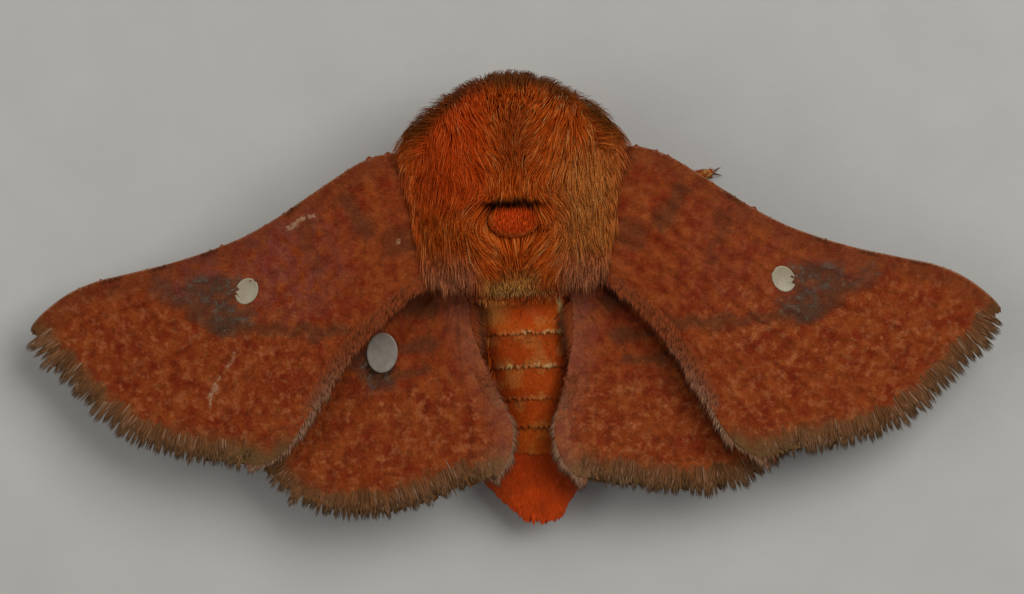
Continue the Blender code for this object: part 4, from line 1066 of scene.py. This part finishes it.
def cape_height(plan):
    """The surface under the long coat: a round brow, sides that run out in an even slope, a middle furrow and locks."""
    x, y = plan[..., 0], plan[..., 1]
    fall = np.maximum(1 - cape_reach(plan)**2, 0.0)
    bluntness = 1.0 - 0.5 * soft_step(3.6, 5.4, y)
    furrow = 0.12 * np.exp(-((x - 0.08) / 0.55)**2) * soft_step(2.9, 3.7, y) * soft_step(6.0, 5.2, y)
    locks = 0.045 * smooth_noise(plan * (1.0, 0.4), 0.42, 55) + 0.03 * smooth_noise(plan * (1.0, 0.3), 0.2, 56)
    return CAPE["base"] + CAPE["height"] * fall**bluntness - furrow + locks * soft_step(0.0, 0.25, fall)


def cape_normal(plan):
    """Across the height's slope, from differences over a twentieth of a millimetre."""
    step = np.array((0.05, 0.0)), np.array((0.0, 0.05))
    slope = [(cape_height(plan + part) - cape_height(plan - part)) / 0.1 for part in step]
    return unit(np.stack([-slope[0], -slope[1], np.ones_like(slope[0])], -1))


def cape_uv(plan):
    """An unwrap of the cape: its turn about the long axis, and its angle from the brow backwards."""
    x = plan[:, 0] / CAPE["half_width"]
    y = (plan[:, 1] - CAPE["centre"][1]) / np.where(plan[:, 1] > CAPE["centre"][1], CAPE["front"], CAPE["rear"])
    up = np.sqrt(np.maximum(1 - x**2 - y**2, 0.01))
    return np.stack([0.01 + 0.96 * (np.arctan2(x, up) / np.pi + 0.5), 0.01 + 0.96 * np.arccos(np.clip(y, -1, 1)) / np.pi], 1)


def comb_cape(plan, length, depth, sections):
    """Paths of hairs over the cape: steps along the flow, as long on the slope as on the flat, rising by a sine."""
    places, normals = [], []
    for k in range(sections + 1):
        share = k / sections
        normal = cape_normal(plan)
        ground = np.concatenate([plan, cape_height(plan)[:, None]], 1)
        lift = -0.1 + (0.1 + depth) * np.sin(np.pi / 2 * min(1.0, 1.25 * share))
        places.append(ground + normal * lift[:, None])
        normals.append(normal)
        heading = hood_flow(plan)
        climb = -(normal[:, :2] * heading).sum(1) / normal[:, 2]
        plan = plan + heading * (length / sections / np.hypot(1, climb))[:, None]
    return np.stack(places, 1), np.stack(normals, 1)


def crown_flow(points):
    """The crown's short nap stands out at the front edge, and turns back along the shoulders at the sides."""
    away = points - np.array(MANTLE[0])
    stray = 0.5 * np.stack([smooth_noise(points, 0.3, 53), smooth_noise(points, 0.3, 54)], 1)
    turned = soft_step(0.9, 2.2, np.abs(away[:, 0]))
    return np.stack([away[:, 0] * 0.8 + stray[:, 0], (1 - 2.1 * turned) * 1.7 + stray[:, 1], 0.2 * away[:, 2]], 1)


def at_corners(values):
    """Values along each hair given to its corners: three at each section and one at the tip."""
    return np.concatenate([np.repeat(values[:, :-1], 3, axis=1), values[:, -1:]], axis=1)


def hair_marks(spine, extra=None):
    """Body markings at each corner of hairs."""
    marks = {key: values.reshape(-1, 1) for key, values in body_marks(at_corners(spine)).items()}
    return {**marks, **(extra or {})}


def build_hood(finish):
    """The long coat of the thorax, in a left and a right piece, and the crown's nap."""
    draw = np.random.default_rng(SEED + 1)
    plan = draw.uniform((-3, 0.9), (3, 6.1), (34000, 2))
    side = np.abs(plan[:, 0])
    on_patch = np.abs((plan[:, 0] + 0.04) / 0.76)**3 + np.abs((plan[:, 1] - 2.25) / 0.45)**3 < 1
    steepness = 1 / np.maximum(cape_normal(plan)[:, 2], 0.25)
    kept = ~on_patch & (cape_reach(plan) < 0.97) & (draw.uniform(0, 2.2, len(plan)) < steepness)
    kept &= side < 2.45 + draw.normal(0, 0.1, len(plan))
    plan, side = plan[kept], side[kept]
    y = plan[:, 1]
    length = draw.uniform(0.8, 1.4, len(y)) * (1 - 0.5 * soft_step(4.4, 5.9, y)) * (1 - 0.35 * soft_step(1.2, 0.5, side))
    ahead = (side < 0.75) & (y >= 2.7)
    length = np.where(ahead, np.minimum(length, y - 2.66 + 0.06 * draw.normal(size=len(y))), length)
    middle = (side < 1.0) & (y < 2.6)
    length = np.where(middle, np.minimum(length, y - 0.75 + 0.15 * draw.normal(size=len(y))), length)
    kept = length > 0.22
    plan, side, y, length = plan[kept], side[kept], y[kept], length[kept]
    depth = draw.uniform(0.1, 0.28, len(y)) * (1 - 0.35 * soft_step(4.8, 5.9, y)) * (1 - 0.3 * soft_step(1.6, 2.6, side))
    spine, normal = comb_cape(plan, length, depth, 3)
    spine, leader = gathered(spine, draw, 2200, 0.35)
    tone = draw.uniform(-1, 1, 2200)[leader] * 0.45 + draw.uniform(-0.6, 0.6, len(leader))
    # Painted highlights: a few single hairs, many more towards the right where the light falls, take the cream shade as
    # glints.
    golden = np.where(draw.uniform(0, 1, len(leader)) < 0.006 + 0.05 * soft_step(0.6, 1.6, plan[:, 0]), 0.6, 0.0)
    width = draw.uniform(0.024, 0.042, len(y))
    for word, turn in SIDES.items():
        half = plan[:, 0] * turn > 0
        marks = hair_marks(spine[half], {"tint": tone[half], "cream": golden[half]})
        hair(f"hood_coat_{word}", spine[half], normal[half], width[half], finish, cape_uv(plan[half]), marks)
    directions = spread_directions(17000, draw)
    place = np.array(MANTLE[0]) + directions * np.array(MANTLE[1])
    x, y, z = place.T
    kept = (y > 4.65 - 0.2 * np.abs(x)) & (z > 3.5)
    kept &= np.hypot(x / 2.75, (y - 3.2) / 2.95) > 0.82 + 0.1 * soft_step(0.8, 1.8, np.abs(x))
    directions, x, y = directions[kept], x[kept], y[kept]
    corner = np.exp(-((np.abs(x) - 2.2) / 0.55)**2)
    depth = draw.uniform(0.12, 0.34, len(x)) + 0.42 * corner * draw.uniform(0.2, 1, len(x))
    spine, normal = comb_over(MANTLE, directions, crown_flow, draw.uniform(0.2, 0.42, len(x)), depth, 3)
    marks = hair_marks(spine, {"tint": draw.uniform(-1, 0.6, len(x))})
    hair("crown_coat", spine, normal, draw.uniform(0.022, 0.036, len(x)), finish, ball_uv(directions), marks)
    build_rear(finish, draw)


def build_rear(finish, draw):
    """Short flat coat on the thorax's rear slope, between the long coat and the abdomen."""
    plan = draw.uniform((-2.4, 0.0), (2.4, 1.35), (3600, 2))
    plan = plan[cape_reach(plan) < 0.99]
    count = len(plan)
    spine, normal = comb_cape(plan, draw.uniform(0.22, 0.4, count), draw.uniform(0.02, 0.09, count), 3)
    spine[:, :, 2] -= 0.16 * soft_step(0.6, 0.0, plan[:, 1:])
    marks = hair_marks(spine, {"tint": draw.uniform(-0.7, 0.9, count)})
    hair("rear_coat", spine, normal, draw.uniform(0.035, 0.06, count), finish, cape_uv(plan), marks, flat=0.3)


def shoulder_ground(plan):
    """The height that the shoulder's locks lie on: the cape or the wing's roof, whichever is higher."""
    return np.maximum(cape_height(plan) - 2 * np.maximum(cape_reach(plan) - 1, 0), roof(plan[..., 0], plan[..., 1]) + 0.05)


def build_shoulders(finish):
    """Locks from each shoulder back over the wing's base, on quadratic curves between root, middle and tip lines.

    Each strand covers a part of its curve, rising from under the ones ahead of it and ending low on the wing.
    """
    draw = np.random.default_rng(SEED + 2)
    roots = even_curve(((1.6, 5.55), (2.0, 4.9), (2.15, 4.2), (2.1, 3.6), (1.85, 3.1), (1.5, 2.8)), 40)
    middles = even_curve(((2.7, 5.05), (2.85, 4.2), (2.72, 3.3), (2.55, 2.3), (2.3, 1.7), (1.8, 1.4)), 40)
    tips = even_curve(((3.4, 4.1), (2.92, 2.9), (2.75, 1.7), (2.55, 0.75), (2.25, 0.1), (1.35, 0.05)), 40)
    for word, side in SIDES.items():
        count = 5400
        share = draw.uniform(0, 1, count)
        shift = draw.normal(0, 0.09, (count, 2))
        start, bend, end = (on_curve(line, share) + shift for line in (roots, middles, tips))
        first = draw.uniform(0, 0.66, count)
        uneven = 0.08 * smooth_noise(np.stack([share * 25, 0 * share], 1), 1.0, 57 + side)
        last = np.minimum(first + draw.uniform(0.3, 0.48, count), 1.0 + uneven + 0.04 * draw.normal(size=count))
        t = (first[:, None] + (last - first)[:, None] * np.linspace(0, 1, 4)[None])[..., None]
        plan = (1 - t)**2 * start[:, None] + 2 * t * (1 - t) * bend[:, None] + t**2 * end[:, None]
        rise = np.linspace(0, 1, 4)[None]
        lift = -0.08 + (0.12 + draw.uniform(0.02, 0.26, count)[:, None] * (1 - 0.85 * t[..., 0])) * np.sin(1.7 * rise)
        lift = lift - 0.06 * soft_step(0.7, 1.0, t[..., 0])
        spine = np.concatenate([plan * (side, 1), (shoulder_ground(plan) + lift)[..., None]], -1)
        spine, leader = gathered(spine, draw, 700, 0.4)
        tone = draw.uniform(-1, 1, 700)[leader] * 0.5 + draw.uniform(-0.3, 0.8, count)
        normal = np.broadcast_to(unit(np.array((0.3 * side, 0.0, 1.0))), spine.shape)
        uv = np.stack([0.02 + 0.95 * share, 0.03 + 0.93 * first / 0.66], 1)
        marks = hair_marks(spine, {"tint": np.clip(tone, -1, 1)})
        blend = 0.8 * soft_step(0.55, 1.0, t[..., 0]) * soft_step(0.85, 0.45, share)[:, None]
        marks["wing"] = at_corners(blend).reshape(-1, 1)
        hair(f"shoulder_coat_{word}", spine, normal, draw.uniform(0.026, 0.045, count), finish, uv, marks)


def build_patch(finish):
    """Short flat tufts over the bare-looking patch ahead of the rear edge of the hood."""
    draw = np.random.default_rng(SEED + 3)
    directions = spread_directions(1500, draw)
    directions = directions[directions[:, 2] > 0.05]
    back = lambda p: np.stack([0.3 * p[:, 0], -np.ones(len(p)), 0 * p[:, 0]], 1)
    count = len(directions)
    spine, normal = comb_over(PATCH, directions, back, draw.uniform(0.2, 0.34, count), draw.uniform(0.03, 0.07, count), 3, 0.03)
    marks = hair_marks(spine, {"tint": draw.uniform(-0.5, 0.8, count)})
    hair("patch_coat", spine, normal, draw.uniform(0.035, 0.05, count), finish, ball_uv(directions), marks)


def abdomen_frame(y, turn):
    """On the abdomen at y and turn: place, direction backwards along it, direction round it, and outward normal."""
    place = abdomen_point(y, turn)
    along = unit(abdomen_point(y - 0.02, turn) - abdomen_point(y + 0.02, turn))
    across = unit(abdomen_point(y, turn + 0.02) - abdomen_point(y, turn - 0.02))
    normal = unit(np.cross(across, along))
    middle = np.stack([abdomen_x(y), y, abdomen_size(y)[2]], -1)
    normal *= np.sign(((place - middle) * normal).sum(1, keepdims=True))
    return place, along, across, normal


def abdomen_uv(y, turn):
    return np.stack([0.01 + 0.96 * (turn / (2 * np.pi) % 1.0), 0.01 + 0.96 * (1.3 - y) / 5.9], 1)


def build_abdomen_coat(finish):
    """Overlapping scales on every ring, more of them along each ring's rear edge, and loose hair down both flanks."""
    draw = np.random.default_rng(SEED + 4)
    rows, columns, hems = 80, 112, 300
    row, column = (part.ravel() for part in np.indices((rows, columns)))
    y = 1.25 - (row + draw.uniform(0, 1, rows * columns)) / rows * 5.65
    turn = (column + 0.5 * (row % 2) + draw.uniform(-0.35, 0.35, len(row))) / columns * 2 * np.pi - np.pi
    y = np.concatenate([y, np.repeat(RING_EDGES, hems) + draw.uniform(0.02, 0.14, len(RING_EDGES) * hems)])
    turn = np.concatenate([turn, draw.uniform(-np.pi, np.pi, len(RING_EDGES) * hems)])
    place, along, across, normal = abdomen_frame(y, turn)
    along = unit(along + across * draw.normal(0, 0.1, len(y))[:, None])
    lift = draw.uniform(0.006, 0.016, len(y))
    marks = body_marks(place + along * 0.08)
    brightness = 0.95 * soft_step(-3.1, -3.8, y) - 0.8 * soft_step(-0.8, -1.1, y) + draw.uniform(-0.45, 0.2, len(y))
    # even at 0.9 keeps the coat's painted root shade light on these scales.
    scales("abdomen_scales", place - normal * 0.008, along, normal, draw.uniform(0.18, 0.28, len(y)),
           draw.uniform(0.09, 0.13, len(y)), lift, finish, abdomen_uv(y, turn),
           {**marks, "tint": brightness, "even": np.full(len(y), 0.9)})
    count = 2600
    y = draw.uniform(-3.9, 0.9, count)
    turn = draw.choice((-1, 1), count) * draw.uniform(0.95, 2.0, count)
    place, along, across, normal = abdomen_frame(y, turn)
    heading = unit(along + normal * draw.uniform(0.25, 0.6, count)[:, None] + across * draw.normal(0, 0.2, count)[:, None])
    t = np.linspace(0, 1, 4)[None, :, None]
    reach = draw.uniform(0.3, 0.6, count)[:, None, None]
    spine = place[:, None] - 0.03 * normal[:, None] + heading[:, None] * reach * t - normal[:, None] * 0.12 * reach * t**2
    marks = hair_marks(spine, {"tint": draw.uniform(-0.8, 0.4, count)})
    normals = np.broadcast_to(normal[:, None], spine.shape)
    hair("flank_coat", spine, normals, draw.uniform(0.03, 0.05, count), finish, abdomen_uv(y, turn), marks)


def tail_place(share, height, t):
    """A place in the tail's fan, on the line at share across it and height up, t of the way to its outline."""
    outline = even_curve(((-0.98, -4.95), (-1.04, -5.2), (-0.6, -5.75), (-0.1, -6.25), (0.25, -6.46), (0.95, -6.41),
                          (1.22, -5.95), (1.64, -5.25), (1.7, -4.95)), 60)
    tip = on_curve(outline, share)
    start_x = 0.36 + (share - 0.5) * 1.3
    x = start_x + (tip[:, 0] - start_x) * np.sin(np.pi / 2 * np.minimum(t, 1))
    y = -4.2 + (tip[:, 1] + 4.2) * t
    bulge = np.sqrt(np.maximum(0.03, 1 - (1.9 * (share - 0.5))**2))
    z = 1.4 - 0.3 * t + (0.62 - 0.48 * t**1.5) * bulge * height
    return np.stack([x, y, z], -1)


def build_tail(finish):
    """The tail's fan: flat scales laid along lines that spread from the last ring to the fan's outline, like velvet."""
    draw = np.random.default_rng(SEED + 5)
    count = 5650
    share = draw.uniform(0, 1, count)
    height = np.sign(draw.uniform(-0.6, 1, count)) * np.where(draw.uniform(0, 1, count) < 0.8, 1.0, draw.uniform(0.2, 1, count))
    first = draw.uniform(0, 0.86, count)
    root = tail_place(share, height, first)
    ahead = tail_place(share, height, first + 0.02)
    across = unit(tail_place(np.minimum(share + 0.01, 1), height, first) - tail_place(np.maximum(share - 0.01, 0), height, first))
    along = unit(ahead - root)
    normal = unit(np.cross(across, along))
    normal *= (np.sign(height) * np.sign(normal[:, 2]))[:, None]
    room = np.linalg.norm(tail_place(share, height, np.ones(count)) - root, axis=1)
    length = np.minimum(draw.uniform(0.3, 0.5, count), room + draw.uniform(-0.06, 0.08, count))
    along = unit(along + across * draw.normal(0, 0.05, count)[:, None])
    marks = {key: 0 * values for key, values in body_marks(root).items()}
    shade = 0.3 + 0.4 * soft_step(0.2, 0.5, np.abs(share - 0.5)) + 0.25 * smooth_noise(root, 0.25, 61)
    # even at 0.9 keeps the coat's painted root shade light on the tail's scales.
    marks.update({"red": np.full(count, 0.85), "even": np.full(count, 0.9), "flank": shade, "tint": draw.uniform(-1, 0.5, count)})
    uv = np.stack([0.02 + 0.95 * share, 0.02 + 0.45 * first + 0.48 * (height > 0)], 1)
    scales("tail_coat", root, along, normal, length, draw.uniform(0.09, 0.14, count), draw.uniform(0.01, 0.03, count),
           finish, uv, marks)


def build_belly(finish):
    """Shorter coat under and beside the thorax, and over the head."""
    draw = np.random.default_rng(SEED + 6)
    directions = spread_directions(3400, draw)
    place = np.array(THORAX[0]) + directions * np.array(THORAX[1])
    directions = directions[place[:, 2] < 4.2]
    back = lambda p: np.stack([0.2 * p[:, 0], -np.ones(len(p)), -0.4 * np.ones(len(p))], 1)
    spine, normal = comb_over(THORAX, directions, back, draw.uniform(0.5, 0.9, len(directions)),
                              draw.uniform(0.08, 0.2, len(directions)), 3)
    marks = hair_marks(spine, {"tint": draw.uniform(-0.8, 0.8, len(directions))})
    hair("belly_coat", spine, normal, draw.uniform(0.05, 0.08, len(directions)), finish, ball_uv(directions), marks)
    directions = spread_directions(3000, draw)
    z = MANTLE_SKIN[0][2] + directions[:, 2] * MANTLE_SKIN[1][2]
    directions = directions[(z < 4.6) & (z > 3.3)]
    spine, normal = comb_over(MANTLE_SKIN, directions, back, draw.uniform(0.4, 0.7, len(directions)),
                              draw.uniform(0.05, 0.14, len(directions)), 3)
    marks = hair_marks(spine, {"tint": draw.uniform(-0.8, 0.6, len(directions))})
    hair("side_coat", spine, normal, draw.uniform(0.05, 0.08, len(directions)), finish, ball_uv(directions), marks)
    directions = spread_directions(3000, draw)
    down = lambda p: np.stack([0.3 * p[:, 0], 0.2 * np.ones(len(p)), -np.ones(len(p))], 1)
    spine, normal = comb_over(HEAD, directions, down, draw.uniform(0.2, 0.4, len(directions)),
                              draw.uniform(0.04, 0.12, len(directions)), 3)
    marks = hair_marks(spine, {"tint": draw.uniform(-0.9, 0.5, len(directions))})
    hair("head_coat", spine, normal, draw.uniform(0.03, 0.045, len(directions)), finish,
         ball_uv(directions), marks)


def limb_scales(name, path, count, size, finish, draw, start=0.0):
    """Scales round a limb, pointing to its tip: rooted at random places along it and around it."""
    line, radius = limb_curve(path, 160)
    radius = foot_rings(radius, 160) if name.startswith("leg") else radius
    joints = np.cumsum(np.linalg.norm(np.diff(path[:, :3], axis=0), axis=1))
    share = draw.uniform(start, 0.99, count)
    at_joints = np.repeat(joints[:-1] / joints[-1], 40)
    share = np.concatenate([share, at_joints + draw.normal(0, 0.015, len(at_joints))])
    share = share[(share > start) & (share < 0.99)]
    count = len(share)
    turn = draw.uniform(0, 2 * np.pi, count)
    _, side, up = path_frames(line)
    here, out_side, out_up = on_curve(line, share), unit(on_curve(side, share)), unit(on_curve(up, share))
    along = unit(on_curve(line, share + 0.01) - on_curve(line, share - 0.01))
    normal = np.cos(turn)[:, None] * out_side + np.sin(turn)[:, None] * out_up
    girth = on_curve(radius[:, None], share)
    along = unit(along + np.cross(normal, along) * draw.normal(0, 0.15, count)[:, None])
    root = here + normal * (girth - 0.01)
    root[:, 2] = np.maximum(root[:, 2], 0.02)
    slim = np.clip(girth[:, 0] / 0.25, 0.45, 1.2)
    marks = {"tint": draw.uniform(-0.8, 0.8, count), "olive": np.full(count, 0.5)}
    marks["cream"] = 0.5 * (np.sin(share * 60) > 0.75)
    uv = np.stack([0.02 + 0.95 * share, 0.02 + 0.95 * turn / (2 * np.pi)], 1)
    scales(name, root, along, normal, draw.uniform(0.8, 1.3, count) * size * slim, draw.uniform(0.3, 0.45, count) * size * slim,
           draw.uniform(0.01, 0.05, count) * slim, finish, uv, marks)


def build_limb_coats(finish):
    draw = np.random.default_rng(SEED + 8)
    for word, side in SIDES.items():
        for place in LEG_PATHS:
            limb_scales(f"leg_{place}_{word}_scales", leg_path(place, word, side), 1700, 0.2, finish, draw, 0.1)
        limb_scales(f"palp_{word}_scales", np.array(PALP_PATH) * (side, 1, 1, 1), 900, 0.2, finish, draw)


def build_eyes(finish):
    """Each eye is a full ball stretched to three radii, set into the head's side."""
    for word, side in SIDES.items():
        centre = np.array(EYE[0]) * (side, 1, 1)
        points, faces = closed_rings(ellipsoid_rings(centre, EYE[1], 36, 48))
        eye = add_piece(f"eye_{word}_lens", points, faces[:, ::-1], finish)
        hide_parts("eye_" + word)


def build_antennae(finish):
    """A feeler is a tube whose radius steps out at the end of each of about forty rings."""
    for word, side in SIDES.items():
        path = np.array(ANTENNA_PATH) * (side, 1, 1, 1)
        line = even_curve(path, 240)
        share = np.linspace(0, 1, 240)
        radius = line[:, 3] * (0.84 + 0.2 * (share * 40 % 1.0))
        points, faces = closed_rings(tube_rings(line[:, :3], radius, 14))
        feeler = add_piece(f"antenna_{word}_rings", points, faces, finish)
        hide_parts("antenna_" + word)


def build_claws_and_tongue(finish):
    """Two hooked claws on each foot, two spurs on the shins behind, and the coiled tongue between the palps."""
    for word, side in SIDES.items():
        for place in LEG_PATHS:
            path = leg_path(place, word, side)
            tip, run = path[-1, :3], unit(path[-1, :3] - path[-2, :3])
            across = unit(np.cross(run, (0, 0, 1)))
            rings = []
            t = np.linspace(0, 1, 8)[:, None]
            pieces = []
            for lean in (-1, 1):
                line = tip + run * (0.3 * t - 0.05) + across * lean * 0.12 * t + np.array((0, 0, 1)) * (0.06 - 0.2 * t**2)
                line[:, 2] = np.maximum(line[:, 2], 0.03)
                pieces.append(closed_rings(tube_rings(line, 0.045 * (1 - 0.85 * t[:, 0]), 8)))
            if place != "front":
                knee, shin = path[5, :3], unit(path[5, :3] - path[4, :3])
                for lean in (-1, 1):
                    line = knee + shin * 0.4 * t + across * lean * 0.25 * t
                    line[:, 2] = np.maximum(line[:, 2], 0.04)
                    pieces.append(closed_rings(tube_rings(line, 0.05 * (1 - 0.85 * t[:, 0]), 8)))
            join_forms(f"leg_{place}_{word}_claws", pieces, finish)
    turn = np.linspace(0, 4.2 * np.pi, 120)
    spiral = 0.34 * (1 - 0.16 * turn / np.pi)
    line = np.stack([0.02 * turn / np.pi, 5.75 + spiral * np.cos(turn), 2.25 + spiral * np.sin(turn)], 1)
    join_forms("tongue", [closed_rings(tube_rings(line, np.linspace(0.07, 0.035, 120), 10))], finish)


def join_forms(name, forms, finish):
    """Several closed forms in one mesh."""
    sizes = np.cumsum([0] + [len(points) for points, _ in forms])
    points = np.vstack([points for points, _ in forms])
    faces = np.vstack([faces + start for (_, faces), start in zip(forms, sizes)])
    return add_piece(name, points, faces, finish)


# Stage

def build_stage(finish):
    """A pale floor, a broad soft light from the upper right, a fill from the left, an even sky, and the camera."""
    corners = np.array(((-400.0, -400, 0), (400, -400, 0), (400, 400, 0), (-400, 400, 0)))
    mesh = bpy.data.meshes.new("floor")
    mesh.from_pydata((corners * MM).tolist(), [], [(0, 1, 2, 3)])
    mesh.materials.append(finish)
    floor = bpy.data.objects.new("floor", mesh)
    bpy.context.scene.collection.objects.link(floor)
    for name, place, size, power in (("key_light", (80, 60, 150), 120, 0.2), ("fill_light", (-120, 20, 120), 120, 0.065)):
        lamp = bpy.data.lights.new(name, "AREA")
        lamp.size = size * MM
        lamp.energy = power
        light = bpy.data.objects.new(name, lamp)
        light.location = np.array(place) * MM
        light.rotation_euler = (-light.location).to_track_quat("-Z", "Y").to_euler()
        bpy.context.scene.collection.objects.link(light)
    world = bpy.data.worlds.new("sky")
    world.use_nodes = True
    world.node_tree.nodes["Background"].inputs["Color"].default_value = linear("#EEF1F6")
    world.node_tree.nodes["Background"].inputs["Strength"].default_value = 0.2
    bpy.context.scene.world = world
    bpy.context.scene.view_settings.view_transform = "Standard"
    lens = bpy.data.cameras.new("camera")
    lens.sensor_width = SENSOR_WIDTH
    lens.lens = SENSOR_WIDTH * CAMERA_DISTANCE / VIEW_WIDTH
    lens.clip_start = 0.002
    camera = bpy.data.objects.new("camera", lens)
    camera.location = np.array((*VIEW_CENTRE, WING_LEVEL + CAMERA_DISTANCE)) * MM
    camera.rotation_euler = (0, 0, VIEW_ROLL)
    bpy.context.scene.collection.objects.link(camera)
    bpy.context.scene.camera = camera


def main():
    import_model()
    build_stage(floor_finish("pale_paper"))
    coat, wing_scales, fringe = coat_finish("hair_scales"), wing_scale_finish("wing_scales"), fringe_finish("fringe_scales")
    horn = horn_finish("bare_cuticle")
    build_skin(skin_finish("body_cuticle"))
    build_hood(coat)
    build_shoulders(coat)
    build_patch(coat)
    build_abdomen_coat(coat)
    build_tail(coat)
    build_belly(coat)
    build_limb_coats(coat)
    build_eyes(eye_finish("compound_eye"))
    build_antennae(horn)
    build_claws_and_tongue(horn)
    # The films' colours are darkened with painted shade of the shadowed floor beneath, the hindwing's to grey.
    films = {True: window_finish("milky_film_painted_shade", "#A6997C", "#AFA286"),
             False: window_finish("film_painted_grey_shade", "#8A7D70", "#958A7C")}
    for word, side in SIDES.items():
        for fore in (True, False):
            wing = wing_shape(word, side, fore)
            skin = build_membrane(wing, wing_scales)
            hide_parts(("forewing_" if fore else "hindwing_") + word)
            build_wing_scales(wing, wing_scales)
            build_fringe(wing, fringe)
            build_window(wing, films[fore])


main()
